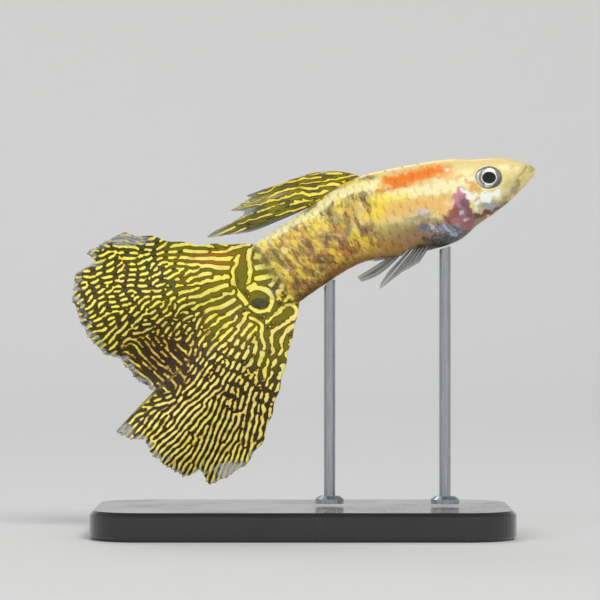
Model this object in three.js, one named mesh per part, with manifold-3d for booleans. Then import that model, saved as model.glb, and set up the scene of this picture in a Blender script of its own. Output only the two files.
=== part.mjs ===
// A life-size display model of a male fancy guppy, swimming, held over a small stand by two rods.
// Units are millimetres. +X is towards the snout, +Y is the fish's left and +Z is up.
// The origin is on the floor, under the middle of the whole model.
import * as THREE from "three";
import { mergeVertices } from "three/addons/utils/BufferGeometryUtils.js";
import Module from "manifold-3d";

const wasm = await Module();
wasm.setup();

// Driving dimensions
const GAP = 0.25; // free space between two neighbouring solids
const TAIL_SWAY = 1.3; // how far the tail root bends to the fish's left
const SWAY_FROM_X = 16; // the body is straight ahead of this
const MEMBRANE = 0.5; // fin thickness between the rays
const RAY_HEIGHT = 0.11; // how far a ray stands out of each face
const TIP_SHARE = 0.35; // thickness left at a fin's edge
const UP = new THREE.Vector3(0, 0, 1);
const radians = THREE.MathUtils.degToRad;
const { smoothstep, lerp } = THREE.MathUtils;

// The body, from the snout to the root of the tail fin. x and z are the middle of the section,
// up and down its half heights, side its half width, and square how boxy it is (1 is an ellipse).
const STATIONS = [
  { at: "snout tip", x: 24.42, z: 38.34, up: 0, down: 0, side: 0, square: 0.95 },
  { at: "lower lip", x: 24.13, z: 38.24, up: 0.52, down: 0.5, side: 0.8, square: 0.9 },
  { at: "mouth", x: 23.42, z: 37.94, up: 1.3, down: 0.85, side: 1.2, square: 0.85 },
  { at: "nostril", x: 22.47, z: 37.5, up: 2.15, down: 1.35, side: 1.48, square: 0.8 },
  { at: "front of the eye", x: 21.0, z: 36.93, up: 2.8, down: 2.05, side: 1.8, square: 0.8 },
  { at: "eye", x: 19.2, z: 36.3, up: 3.35, down: 2.72, side: 2.08, square: 0.82 },
  { at: "cheek", x: 17.2, z: 35.55, up: 4.15, down: 3.25, side: 2.32, square: 0.88 },
  { at: "gill cover", x: 15.2, z: 34.93, up: 4.5, down: 4.25, side: 2.48, square: 0.92 },
  { at: "shoulder", x: 12.6, z: 34.42, up: 4.6, down: 4.6, side: 2.55, square: 0.95 },
  { at: "belly", x: 10.0, z: 33.92, up: 4.6, down: 4.6, side: 2.48, square: 0.95 },
  { at: "pelvis", x: 7.4, z: 33.3, up: 4.6, down: 4.45, side: 2.28, square: 0.95 },
  { at: "front of the dorsal fin", x: 5.2, z: 32.62, up: 4.22, down: 4.2, side: 2.02, square: 0.95 },
  { at: "back of the dorsal fin", x: 3.2, z: 31.62, up: 3.75, down: 4.05, side: 1.76, square: 0.95 },
  { at: "front of the stalk", x: 1.4, z: 30.5, up: 3.62, down: 4.0, side: 1.52, square: 0.95 },
  { at: "stalk", x: -0.4, z: 29.24, up: 3.66, down: 3.96, side: 1.3, square: 0.92 },
  { at: "back of the stalk", x: -2.0, z: 28.03, up: 3.84, down: 3.88, side: 1.08, square: 0.9 },
  { at: "tail root", x: -3.6, z: 26.8, up: 3.95, down: 3.84, side: 0.82, square: 0.9 },
];
const LAST = STATIONS.length - 1;
const AROUND = 32; // points round the body
const HEAD_ROWS = 4; // rows of points per station
const BODY_ROWS = 3;

// Cuts between head, trunk and tail stalk, in stations. A cut bows with the angle round the body.
const GILL_CUT = { middle: 6.55, tilt: -0.15, bow: -0.7, centre: 7.0 };
const STALK_CUT = { middle: 13, tilt: 0, bow: 0, centre: 13 };
const ROOT_CUT = { middle: 15.74, tilt: 0.12, bow: -0.26, centre: 16 };
const SNOUT_END = { middle: 0, tilt: 0, bow: 0, centre: 0 };

// Head
const EYE = { x: 19.43, z: 37.45, radius: 1.4, front: 0.5, back: 0.95, plane: 1.8, yaw: 9 };
const EYE_RIM = { radius: 1.62, width: 0.26, height: 0.12 };
const MOUTH = { top: [23.5, 38.8], corner: [22.75, 37.5], lip: 0.13, lipWidth: 0.26 };
const NOSTRIL = { x: 22.1, z: 38.75, y: 1.05, radius: 0.24 };
const GILL_FLARE = 0.16; // the gill cover's free edge stands this far out of the trunk

// Fins. Angles are in degrees below the tailward direction.
const TAIL_FIN = {
  apex: { x: -0.315, z: 29.36 },
  root: 4.6, // distance from the apex to the tail root
  sink: 0.9,
  rootAngles: [-14, 90],
  outerAngles: [-6.5, 77],
  settle: 6.3, // distance over which the rays swing from the root angles to the outer ones
  rays: 20,
  rows: 13,
  fringe: 0.035,
  waves: 2.3,
  waveStart: 0.6,
  waveHeight: 1.15,
  leanLength: 14, // distance over which the tail root's sideways lean dies out
};
// Edge of the tail fin: place across the fan, from top to bottom, and distance from the apex.
const TAIL_EDGE = [
  [0, 18.6], [0.03, 20.7], [0.08, 22.7], [0.105, 21.6], [0.135, 23.9], [0.21, 24.5],
  [0.33, 24.0], [0.4, 23.2], [0.435, 22.0], [0.52, 21.8], [0.588, 21.1], [0.6, 27.1],
  [0.635, 26.6], [0.675, 25.5], [0.72, 26.3], [0.82, 26.5], [0.855, 25.1], [0.89, 26.2],
  [0.93, 24.9], [0.965, 23.3], [1, 20.6],
];
const DORSAL_FIN = {
  from: 10.1,
  to: 12.25,
  sink: 0.8,
  angles: [-20, 26],
  curls: [3.4, 0.3], // degrees of droop per millimetre, for the first ray and the last
  waveHeight: 0.35,
  rays: 10,
  rows: 10,
};
const DORSAL_EDGE = [
  [0, 7.9], [0.15, 9.0], [0.3, 10.5], [0.38, 9.6], [0.5, 11.2], [0.58, 9.2],
  [0.64, 8.5], [0.72, 10.5], [0.8, 12.3], [0.86, 10.9], [0.93, 7.4], [1, 3.8],
];
const PELVIC_FINS = { from: 8.35, to: 8.95, angleRound: 157, sink: 0.7, rays: 6, rows: 8, splay: 0.16 };
const PELVIC_EDGE = [[0, 1.5], [0.2, 2.4], [0.4, 2.9], [0.55, 4.0], [0.72, 5.6], [0.86, 4.3], [1, 3.2]];
const PECTORAL_FINS = { from: 7.7, to: 8.05, rounds: [98, 118], sink: 0.7, rays: 9, rows: 6, splay: 0.42 };
const PECTORAL_EDGE = [[0, 3.0], [0.2, 4.0], [0.45, 4.3], [0.7, 3.9], [0.88, 3.2], [1, 2.3]];
const ANAL_FIN = {
  from: 9.3,
  to: 9.85,
  sink: 0.8,
  length: 5.1,
  tip: [5.75, 26.75],
  tipWidth: 0.55,
  rays: 4,
  rows: 8,
};

// Stand
const BASE = { length: 44, width: 24, height: 3, corner: 5, bevel: 0.4 };
const RODS = { radius: 0.6, collarRadius: 1.5, collarHeight: 0.8, frontX: 14.9, rearX: 2.8, into: 33 };

// A closed geometry as a solid with shared vertices and faces that point out.
function solidOf(geometry) {
  const bare = new THREE.BufferGeometry();
  bare.setAttribute("position", geometry.getAttribute("position"));
  bare.setIndex(geometry.index);
  const merged = mergeVertices(bare, 1e-4);
  const corners = merged.index.array;
  const kept = [];
  for (let i = 0; i < corners.length; i += 3) {
    const [a, b, c] = [corners[i], corners[i + 1], corners[i + 2]];
    if (a !== b && b !== c && c !== a) kept.push(a, b, c);
  }
  const build = (triangles) =>
    new wasm.Manifold(
      new wasm.Mesh({
        numProp: 3,
        vertProperties: merged.getAttribute("position").array,
        triVerts: new Uint32Array(triangles),
      }),
    );
  const solid = build(kept);
  if (solid.volume() > 0) return solid;
  for (let i = 0; i < kept.length; i += 3) [kept[i + 1], kept[i + 2]] = [kept[i + 2], kept[i + 1]];
  return build(kept);
}

// The largest closed surface of a solid.
function largestOf(solid) {
  const pieces = solid.decompose();
  return pieces.reduce((best, piece) => (piece.volume() > best.volume() ? piece : best));
}

function geometryOf(solid) {
  const mesh = solid.getMesh();
  const geometry = new THREE.BufferGeometry();
  geometry.setAttribute("position", new THREE.BufferAttribute(new Float32Array(mesh.vertProperties), 3));
  geometry.setIndex(new THREE.BufferAttribute(new Uint32Array(mesh.triVerts), 1));
  geometry.computeVertexNormals();
  return geometry;
}

// Value at a place in a list of [place, value] pairs, straight between them.
function along(list, place) {
  const next = Math.max(1, list.findIndex(([at]) => at >= place));
  const [from, to] = [list[next - 1], list[next]];
  return lerp(from[1], to[1], (place - from[0]) / (to[0] - from[0]));
}

const sway = (x) => TAIL_SWAY * Math.max(0, (SWAY_FROM_X - x) / (SWAY_FROM_X - STATIONS[LAST].x)) ** 2;
const spine = new THREE.CatmullRomCurve3(STATIONS.map((s) => new THREE.Vector3(s.x, sway(s.x), s.z)));
const girth = new THREE.CatmullRomCurve3(STATIONS.map((s) => new THREE.Vector3(s.up, s.side, s.down)));
const LAST_SPACING = spine.getPoint(1).distanceTo(spine.getPoint(1 - 1 / LAST));

// Centre, directions and sizes of the body's section at a station.
function sectionAt(station) {
  const t = THREE.MathUtils.clamp(station / LAST, 0, 1);
  const back = spine.getTangent(t);
  const side = new THREE.Vector3().crossVectors(back, UP).normalize();
  const up = new THREE.Vector3().crossVectors(side, back).normalize();
  const beyond = Math.max(0, station - LAST);
  const centre = spine.getPoint(t).addScaledVector(back, beyond * LAST_SPACING);
  const first = Math.min(LAST - 1, Math.floor(station));
  const square = lerp(STATIONS[first].square, STATIONS[first + 1].square, Math.min(1, station - first));
  return { centre, back, side, up, sizes: girth.getPoint(t), square };
}

const power = (value, exponent) => Math.sign(value) * Math.abs(value) ** exponent;

// Distance in the XZ plane from a point to the line of the mouth.
function mouthDistance(x, z) {
  const [ax, az] = MOUTH.top;
  const [bx, bz] = MOUTH.corner;
  const share = ((x - ax) * (bx - ax) + (z - az) * (bz - az)) / ((bx - ax) ** 2 + (bz - az) ** 2);
  const near = THREE.MathUtils.clamp(share, 0, 1);
  return Math.hypot(x - lerp(ax, bx, near), z - lerp(az, bz, near));
}

// How far the head's own forms stand out: lips, the rim of the eye and the edge of the gill cover.
function relief(station, angle, x, z) {
  const fromMouth = mouthDistance(x, z) / MOUTH.lipWidth;
  const lips = MOUTH.lip * Math.exp(-(fromMouth ** 2)) * smoothstep(station, 0.2, 1);
  const ring = (Math.hypot(x - EYE.x, z - EYE.z) - EYE_RIM.radius) / EYE_RIM.width;
  const rim = EYE_RIM.height * Math.exp(-(ring ** 2));
  const flare = smoothstep(station, 5.6, 7) * (1 - smoothstep(station, 7.2, 7.6));
  return lips + rim + GILL_FLARE * flare * Math.sin(angle) ** 2;
}

// A point of the body: a station, an angle round it from the back (0) by the left side, and how far out.
function bodyPoint(station, angle, grow = 0, share = 1) {
  const { centre, side, up, sizes, square } = sectionAt(station);
  const [c, s] = [Math.cos(angle), Math.sin(angle)];
  const place = (more) => {
    const height = (c > 0 ? sizes.x : sizes.z) + more;
    const width = sizes.y + more;
    return centre
      .clone()
      .addScaledVector(up, height * power(c, square) * share)
      .addScaledVector(side, width * power(s, square) * share);
  };
  const plain = place(grow);
  const raised = station < 8 ? relief(station, angle, plain.x, plain.z) : 0;
  return raised > 0 ? place(grow + raised) : plain;
}

const cutAt = (cut, angle) => cut.middle + cut.tilt * Math.cos(angle) + cut.bow * Math.cos(2 * angle);

// A grid of points as a closed geometry. The columns go round, and end rows may shrink to a point.
function tubeGeometry(rows, columns, pointAt) {
  const points = [];
  const faces = [];
  for (let i = 0; i < rows; i++) {
    for (let j = 0; j < columns; j++) points.push(...pointAt(i, j).toArray());
  }
  for (let i = 0; i < rows - 1; i++) {
    for (let j = 0; j < columns; j++) {
      const next = (j + 1) % columns;
      const [a, b] = [i * columns + j, i * columns + next];
      const [c, d] = [b + columns, a + columns];
      faces.push(a, b, d, b, c, d);
    }
  }
  const geometry = new THREE.BufferGeometry();
  geometry.setAttribute("position", new THREE.Float32BufferAttribute(points, 3));
  geometry.setIndex(faces);
  return geometry;
}

// A length of the body between two bowed cuts, with rounded cut faces.
function bodyLength(from, to, rowsPerStation = BODY_ROWS, grow = 0) {
  const caps = [0, 0.5];
  const walls = Math.round((to.centre - from.centre) * rowsPerStation);
  const rows = [];
  const capStation = (cut, share, angle) => lerp(cut.centre, cutAt(cut, angle), share ** 2);
  for (const share of caps) rows.push((angle) => [capStation(from, share, angle), share]);
  for (let i = 0; i <= walls; i++) {
    rows.push((angle) => [lerp(cutAt(from, angle), cutAt(to, angle), i / walls), 1]);
  }
  for (const share of [...caps].reverse()) rows.push((angle) => [capStation(to, share, angle), share]);
  const geometry = tubeGeometry(rows.length, AROUND, (i, j) => {
    const angle = (2 * Math.PI * j) / AROUND;
    const [station, share] = rows[i](angle);
    return bodyPoint(station, angle, grow, share);
  });
  return solidOf(geometry);
}

// A fin as one closed sheet. surface(distance, place) is its middle, and reach(place) its edge.
// Both faces use one grid with one split, so they never cross. The rays are ridges in that grid.
function finSolid({ surface, reach, rays, rows, sink, branch = 0, fringe = 0.03 }) {
  const single = branch ? [0, 0.5, 1, 0.5] : [0, 1];
  const split = branch ? [0, 1, 0.3, 1] : [0, 1];
  const perRay = single.length;
  const columns = rays * perRay;
  const points = [];
  const faces = [];
  const step = 0.02;
  for (const face of [1, -1]) {
    for (let i = 0; i <= rows; i++) {
      for (let j = 0; j <= columns; j++) {
        const place = j / columns;
        const out = i / rows;
        const forked = smoothstep(out, branch - 0.1, branch + 0.1);
        const ridge = lerp(single[j % perRay], split[j % perRay], forked);
        const edge = reach(place) * (1 - fringe * (1 - ridge));
        const distance = lerp(-sink, edge, out);
        const centre = surface(distance, place);
        const alongRay = surface(distance + step, place).sub(surface(distance - step, place));
        const across = surface(distance, place + step).sub(surface(distance, place - step));
        const normal = alongRay.cross(across).normalize();
        const thin = lerp(1, TIP_SHARE, smoothstep(out, 0.82, 1));
        const half = (MEMBRANE / 2 + RAY_HEIGHT * ridge) * thin;
        points.push(...centre.addScaledVector(normal, face * half).toArray());
      }
    }
  }
  const wide = columns + 1;
  const back = wide * (rows + 1);
  const quad = (a, b, c, d) => faces.push(a, b, d, b, c, d);
  for (let i = 0; i < rows; i++) {
    for (let j = 0; j < columns; j++) {
      const [a, b, c, d] = [i * wide + j, i * wide + j + 1, (i + 1) * wide + j + 1, (i + 1) * wide + j];
      faces.push(a, b, d, b, c, d);
      faces.push(back + a, back + d, back + b, back + b, back + d, back + c);
    }
  }
  for (let j = 0; j < columns; j++) {
    const outer = rows * wide + j;
    quad(j + 1, j, back + j, back + j + 1);
    quad(outer, outer + 1, back + outer + 1, back + outer);
  }
  for (let i = 0; i < rows; i++) {
    const [top, under] = [i * wide, (i + 1) * wide];
    quad(top, under, back + under, back + top);
    quad(under + columns, top + columns, back + top + columns, back + under + columns);
  }
  const geometry = new THREE.BufferGeometry();
  geometry.setAttribute("position", new THREE.Float32BufferAttribute(points, 3));
  geometry.setIndex(faces);
  return solidOf(geometry);
}

// A direction in the fish's upright plane, in degrees below tailward.
function heading(degrees) {
  const angle = radians(degrees);
  return new THREE.Vector3(-Math.cos(angle), 0, -Math.sin(angle));
}

// A cut moved tailward by the free space between two solids.
function moved(cut) {
  const [before, here] = [cut.centre - 1, cut.centre].map((station) => spine.getPoint(station / LAST));
  const stations = GAP / before.distanceTo(here);
  return { ...cut, middle: cut.middle + stations, centre: cut.centre + stations };
}

const wholeBody = bodyLength(SNOUT_END, moved(ROOT_CUT), BODY_ROWS, GAP);
const rootSlope = sectionAt(LAST).back;

// Tail fin: rays fan out from the apex inside the stalk, and the outer half ripples.
function tailFin() {
  const spread = TAIL_FIN;
  const surface = (distance, place) => {
    const radius = spread.root + distance;
    const rootAngle = lerp(...spread.rootAngles, place);
    const outerAngle = lerp(...spread.outerAngles, place);
    const angle = lerp(outerAngle, rootAngle, Math.exp(-Math.max(0, distance) / spread.settle));
    const point = heading(angle).multiplyScalar(radius);
    point.x += spread.apex.x;
    point.z += spread.apex.z;
    const behind = STATIONS[LAST].x - point.x;
    const lean = (rootSlope.y / -rootSlope.x) * behind * Math.exp(-Math.max(0, behind) / spread.leanLength);
    const phase = 2 * Math.PI * spread.waves * place + spread.waveStart;
    const ripple = smoothstep(distance, 0, 20) * spread.waveHeight * Math.sin(phase);
    point.y = TAIL_SWAY + lean + ripple;
    return point;
  };
  const fin = finSolid({
    surface,
    reach: (place) => along(TAIL_EDGE, place) - spread.root,
    rays: spread.rays,
    rows: spread.rows,
    sink: spread.sink,
    branch: 0.45,
    fringe: spread.fringe,
  });
  return largestOf(fin.subtract(wholeBody));
}

// Dorsal fin: rays rise from the back, sweep tailward and droop a little.
function dorsalFin() {
  const surface = (distance, place) => {
    const root = bodyPoint(lerp(DORSAL_FIN.from, DORSAL_FIN.to, place), 0);
    const curl = lerp(...DORSAL_FIN.curls, Math.max(0, place) ** 0.6);
    const angle = lerp(...DORSAL_FIN.angles, place) + curl * Math.max(0, distance);
    const point = root.addScaledVector(heading(angle), distance);
    point.z -= DORSAL_FIN.sink * 0.4 * (1 - smoothstep(distance, -DORSAL_FIN.sink, 0.6));
    const ripple = Math.sin(distance * 0.45 + place * 3) * smoothstep(distance, 0, 4);
    point.y += DORSAL_FIN.waveHeight * ripple;
    return point;
  };
  const fin = finSolid({
    surface,
    reach: (place) => along(DORSAL_EDGE, place),
    rays: DORSAL_FIN.rays,
    rows: DORSAL_FIN.rows,
    sink: DORSAL_FIN.sink,
  });
  return largestOf(fin.subtract(wholeBody));
}

// One pelvic fin: side is 1 for left. lower is the fan's droop in degrees.
function pelvicFin(side, lower) {
  const surface = (distance, place) => {
    const station = lerp(PELVIC_FINS.from, PELVIC_FINS.to, place);
    const root = bodyPoint(station, side * radians(PELVIC_FINS.angleRound));
    const droop = lerp(lower + 6, lower - 4, place);
    const point = root.addScaledVector(heading(droop), distance);
    point.y += side * PELVIC_FINS.splay * distance;
    point.z += Math.max(0, -distance) * 0.4;
    return point;
  };
  const fin = finSolid({
    surface,
    reach: (place) => along(PELVIC_EDGE, place),
    rays: PELVIC_FINS.rays,
    rows: PELVIC_FINS.rows,
    sink: PELVIC_FINS.sink,
  });
  return largestOf(fin.subtract(wholeBody));
}

// One pectoral fin: a small fan low behind the gill cover.
function pectoralFin(side, lower) {
  const surface = (distance, place) => {
    const station = lerp(PECTORAL_FINS.from, PECTORAL_FINS.to, place);
    const root = bodyPoint(station, side * radians(lerp(...PECTORAL_FINS.rounds, place)));
    const point = root.addScaledVector(heading(lerp(lower - 22, lower + 26, place)), distance);
    point.y += side * PECTORAL_FINS.splay * distance;
    return point;
  };
  const fin = finSolid({
    surface,
    reach: (place) => along(PECTORAL_EDGE, place),
    rays: PECTORAL_FINS.rays,
    rows: PECTORAL_FINS.rows,
    sink: PECTORAL_FINS.sink,
  });
  return largestOf(fin.subtract(wholeBody));
}

// The male's anal fin: a narrow, rod-like fan that points back under the belly.
function analFin() {
  const [tipX, tipZ] = ANAL_FIN.tip;
  const acrossTip = new THREE.Vector3(0.45, 0, 0.9).setLength(ANAL_FIN.tipWidth);
  const surface = (distance, place) => {
    const root = bodyPoint(lerp(ANAL_FIN.from, ANAL_FIN.to, place), Math.PI);
    const tip = new THREE.Vector3(tipX, root.y, tipZ).addScaledVector(acrossTip, place);
    const share = distance / ANAL_FIN.length;
    const point = root.clone().lerp(tip, share);
    const sag = 0.5 * Math.sin(Math.PI * THREE.MathUtils.clamp(share, 0, 1));
    point.z -= sag * (1 - place);
    return point;
  };
  const fin = finSolid({
    surface,
    reach: () => ANAL_FIN.length,
    rays: ANAL_FIN.rays,
    rows: ANAL_FIN.rows,
    sink: ANAL_FIN.sink,
    fringe: 0,
  });
  return largestOf(fin.subtract(wholeBody));
}

// An eyeball turned about its own axis, with the cornea as a low dome.
function eyeSolid(side, grow) {
  const profile = [];
  const steps = 5;
  for (let i = 0; i <= 2 * steps; i++) {
    const angle = (Math.PI * i) / (2 * steps) - Math.PI / 2;
    const depth = (angle < 0 ? EYE.back : EYE.front) + grow;
    const radius = i === 0 || i === 2 * steps ? 0 : (EYE.radius + grow) * Math.cos(angle) ** 0.8;
    profile.push(new THREE.Vector2(radius, depth * Math.sin(angle)));
  }
  const ball = new THREE.LatheGeometry(profile, 22);
  ball.rotateZ(-radians(EYE.yaw));
  if (side < 0) ball.rotateX(Math.PI);
  ball.translate(EYE.x, side * EYE.plane, EYE.z);
  return solidOf(ball);
}

// The open notch between the lips and the thin line of the mouth behind it, right across the snout.
function mouthCut() {
  const [topX, topZ] = MOUTH.top;
  const [cornerX, cornerZ] = MOUTH.corner;
  const outline = new THREE.Shape([
    new THREE.Vector2(topX - 0.33, topZ + 0.66),
    new THREE.Vector2(topX - 0.07, topZ),
    new THREE.Vector2(cornerX, cornerZ),
    new THREE.Vector2(topX + 0.1, topZ - 0.05),
    new THREE.Vector2(topX + 0.4, topZ + 0.22),
    new THREE.Vector2(topX + 0.8, topZ + 1.1),
    new THREE.Vector2(topX - 0.3, topZ + 1.1),
  ]);
  const width = 5;
  const cut = new THREE.ExtrudeGeometry(outline, { depth: width, bevelEnabled: false });
  cut.rotateX(Math.PI / 2);
  cut.translate(0, width / 2, 0);
  return solidOf(cut);
}

function nostril(side) {
  const pit = new THREE.SphereGeometry(NOSTRIL.radius, 10, 8);
  pit.translate(NOSTRIL.x, side * NOSTRIL.y, NOSTRIL.z);
  return solidOf(pit);
}

function headSolid() {
  let head = bodyLength(SNOUT_END, GILL_CUT, HEAD_ROWS).subtract(mouthCut());
  for (const side of [1, -1]) {
    head = head.subtract(eyeSolid(side, GAP)).subtract(nostril(side));
  }
  return largestOf(head);
}

const trunkSolid = () => bodyLength(moved(GILL_CUT), STALK_CUT);
const stalkSolid = () => bodyLength(moved(STALK_CUT), ROOT_CUT);

// The base is a flat plate with round corners and a fine bevel.
function baseSolid() {
  const [halfX, halfY] = [BASE.length / 2 - BASE.bevel, BASE.width / 2 - BASE.bevel];
  const round = BASE.corner;
  const outline = new THREE.Shape();
  outline.moveTo(-halfX + round, -halfY);
  outline.lineTo(halfX - round, -halfY);
  outline.absarc(halfX - round, -halfY + round, round, -Math.PI / 2, 0);
  outline.lineTo(halfX, halfY - round);
  outline.absarc(halfX - round, halfY - round, round, 0, Math.PI / 2);
  outline.lineTo(-halfX + round, halfY);
  outline.absarc(-halfX + round, halfY - round, round, Math.PI / 2, Math.PI);
  outline.lineTo(-halfX, -halfY + round);
  outline.absarc(-halfX + round, -halfY + round, round, Math.PI, 1.5 * Math.PI);
  const plate = new THREE.ExtrudeGeometry(outline, {
    depth: BASE.height - 2 * BASE.bevel,
    bevelThickness: BASE.bevel,
    bevelSize: BASE.bevel,
    bevelSegments: 1,
    curveSegments: 6,
  });
  plate.translate(0, 0, BASE.bevel);
  return solidOf(plate);
}

// A round rod with a collar at its foot, cut to fit under the body.
function rodSolid(x) {
  const foot = BASE.height + GAP;
  const profile = [
    [0, foot],
    [RODS.collarRadius, foot],
    [RODS.collarRadius, foot + RODS.collarHeight * 0.6],
    [RODS.collarRadius * 0.7, foot + RODS.collarHeight],
    [RODS.radius, foot + RODS.collarHeight],
    [RODS.radius, RODS.into],
    [0, RODS.into],
  ].map(([radius, height]) => new THREE.Vector2(radius, height));
  const rod = new THREE.LatheGeometry(profile, 20);
  rod.rotateX(Math.PI / 2);
  rod.translate(x, sway(x), 0);
  const pieces = solidOf(rod).subtract(wholeBody).decompose();
  return pieces.reduce((low, piece) => (piece.boundingBox().min[2] < low.boundingBox().min[2] ? piece : low));
}

const skin = new THREE.MeshStandardMaterial({ color: 0xd9a94a, roughness: 0.35, metalness: 0 });
const membrane = new THREE.MeshStandardMaterial({ color: 0xb9ab33, roughness: 0.4, metalness: 0 });
const clearFin = new THREE.MeshStandardMaterial({ color: 0x8a97a2, roughness: 0.4, metalness: 0 });
const eyeball = new THREE.MeshStandardMaterial({ color: 0x17181a, roughness: 0.1, metalness: 0 });
const plate = new THREE.MeshStandardMaterial({ color: 0x1b1b1d, roughness: 0.3, metalness: 0 });
const steel = new THREE.MeshStandardMaterial({ color: 0xb8bcc0, roughness: 0.3, metalness: 1 });

const guppy = new THREE.Group();
function add(name, solid, material) {
  const mesh = new THREE.Mesh(geometryOf(solid), material);
  mesh.name = name;
  guppy.add(mesh);
}

add("head", headSolid(), skin);
add("trunk", trunkSolid(), skin);
add("tail_stalk", stalkSolid(), skin);
add("eye_left", eyeSolid(1, 0), eyeball);
add("eye_right", eyeSolid(-1, 0), eyeball);
add("tail_fin", tailFin(), membrane);
add("dorsal_fin", dorsalFin(), membrane);
add("anal_fin", analFin(), clearFin);
add("pelvic_fin_left", pelvicFin(1, 28), clearFin);
add("pelvic_fin_right", pelvicFin(-1, 50), clearFin);
add("pectoral_fin_left", pectoralFin(1, 30), clearFin);
add("pectoral_fin_right", pectoralFin(-1, 38), clearFin);
add("stand_base", baseSolid(), plate);
add("stand_rod_front", rodSolid(RODS.frontX), steel);
add("stand_rod_rear", rodSolid(RODS.rearX), steel);

export default guppy;
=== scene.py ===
import math
import bmesh
import bpy
import numpy as np
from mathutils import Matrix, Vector


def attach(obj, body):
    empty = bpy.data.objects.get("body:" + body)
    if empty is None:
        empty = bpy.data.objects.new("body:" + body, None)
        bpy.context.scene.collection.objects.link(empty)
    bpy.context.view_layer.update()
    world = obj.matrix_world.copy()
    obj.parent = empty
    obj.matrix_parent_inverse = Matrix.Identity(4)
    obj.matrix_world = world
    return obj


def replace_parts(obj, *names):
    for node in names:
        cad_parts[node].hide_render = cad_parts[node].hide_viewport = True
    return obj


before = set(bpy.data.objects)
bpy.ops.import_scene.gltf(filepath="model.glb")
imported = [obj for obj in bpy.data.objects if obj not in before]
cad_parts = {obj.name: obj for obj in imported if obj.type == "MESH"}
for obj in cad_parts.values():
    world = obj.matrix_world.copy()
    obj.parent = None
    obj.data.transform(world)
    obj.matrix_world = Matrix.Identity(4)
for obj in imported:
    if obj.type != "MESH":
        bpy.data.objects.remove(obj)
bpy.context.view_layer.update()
print("frame loaded")

# Sizes are in millimetres until a mesh is made, in the frame's own axes:
# x towards the snout, y to the fish's left, z up from the floor.
mm = 0.001
scene = bpy.context.scene
scene.view_settings.view_transform = "Standard"


# 0 below low, 1 above high, and a smooth curve t*t*(3-2t) between them
def smooth(low, high, value):
    t = np.clip((value - low) / (high - low), 0.0, 1.0)
    return t * t * (3.0 - 2.0 * t)


def blend(a, b, share):
    return a + (b - a) * share


# sum of sines in random directions, about 1 high: a smooth seeded noise of the given size
def waves(points, size, seed, count=20):
    rng = np.random.default_rng(seed)
    total = np.zeros(points.shape[:-1])
    for _ in range(count):
        direction = rng.normal(size=points.shape[-1])
        direction /= np.linalg.norm(direction)
        length = size * rng.uniform(0.75, 1.4)
        total += np.sin(points @ direction * (2 * math.pi / length) + rng.uniform(0, 2 * math.pi))
    return total / math.sqrt(count / 2)


# a colour as the eye reads it, made linear for the shader
def linear(colour):
    c = np.asarray(colour, dtype=float)
    return np.where(c <= 0.04045, c / 12.92, ((c + 0.055) / 1.055) ** 2.4)


# colours of points moved towards one colour, by a share for each point
def tint(colours, colour, share):
    return blend(colours, linear(colour), np.asarray(share)[..., None])


# distance from each point to a bent line, and how far along it the nearest place is (0 to 1)
def toLine(x, z, line):
    best = np.full(x.shape, 1e9)
    where = np.zeros(x.shape)
    parts = len(line) - 1
    for k in range(parts):
        (ax, az), (bx, bz) = line[k], line[k + 1]
        t = np.clip(((x - ax) * (bx - ax) + (z - az) * (bz - az)) / ((bx - ax) ** 2 + (bz - az) ** 2), 0, 1)
        d = np.hypot(x - ax - (bx - ax) * t, z - az - (bz - az) * t)
        nearer = d < best
        best = np.where(nearer, d, best)
        where = np.where(nearer, (k + t) / parts, where)
    return best, where


# a mesh from points and faces, with named values on its points
def makePiece(name, points, faces, material, marks=None, uv=None):
    mesh = bpy.data.meshes.new(name)
    mesh.from_pydata((points * mm).tolist(), [], faces)
    mesh.polygons.foreach_set("use_smooth", [True] * len(mesh.polygons))
    for key, values in (marks or {}).items():
        if values.ndim == 1:
            mesh.attributes.new(key, "FLOAT", "POINT").data.foreach_set("value", values.astype(np.float32))
        else:
            rgba = np.ones((len(values), 4), dtype=np.float32)
            rgba[:, : values.shape[1]] = values
            mesh.attributes.new(key, "FLOAT_COLOR", "POINT").data.foreach_set("color", rgba.ravel())
    if uv is not None:
        corners = np.empty(len(mesh.loops), dtype=np.int32)
        mesh.loops.foreach_get("vertex_index", corners)
        layer = mesh.uv_layers.new(name="OFBake")
        layer.data.foreach_set("uv", uv[corners].astype(np.float32).ravel())
    mesh.materials.append(material)
    mesh.update()
    piece = bpy.data.objects.new(name, mesh)
    scene.collection.objects.link(piece)
    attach(piece, "root")
    return piece


# quads of a grid of points, rows by columns; around joins the last column to the first
def gridQuads(rows, columns, around=False):
    i = np.arange(rows - 1)[:, None]
    j = np.arange(columns if around else columns - 1)[None, :]
    after = (j + 1) % columns
    corners = [i * columns + j, i * columns + after, (i + 1) * columns + after, (i + 1) * columns + j]
    return np.stack(np.broadcast_arrays(*corners), -1).reshape(-1, 4)


view = {
    "middle": (-0.315, 24.635),  # x and z of the picture's centre
    "distance": 350.0,
    "lens": 200.0,
}


def setCamera():
    data = bpy.data.cameras.new("camera")
    data.lens = view["lens"]
    data.sensor_width = 36.0
    camera = bpy.data.objects.new("camera", data)
    camera.location = (view["middle"][0] * mm, -view["distance"] * mm, view["middle"][1] * mm)
    camera.rotation_euler = (math.pi / 2, 0, 0)
    scene.collection.objects.link(camera)
    scene.camera = camera


room = {"flat": 450.0, "bend": 260.0, "height": 300.0, "colour": (0.88, 0.88, 0.87)}


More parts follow.
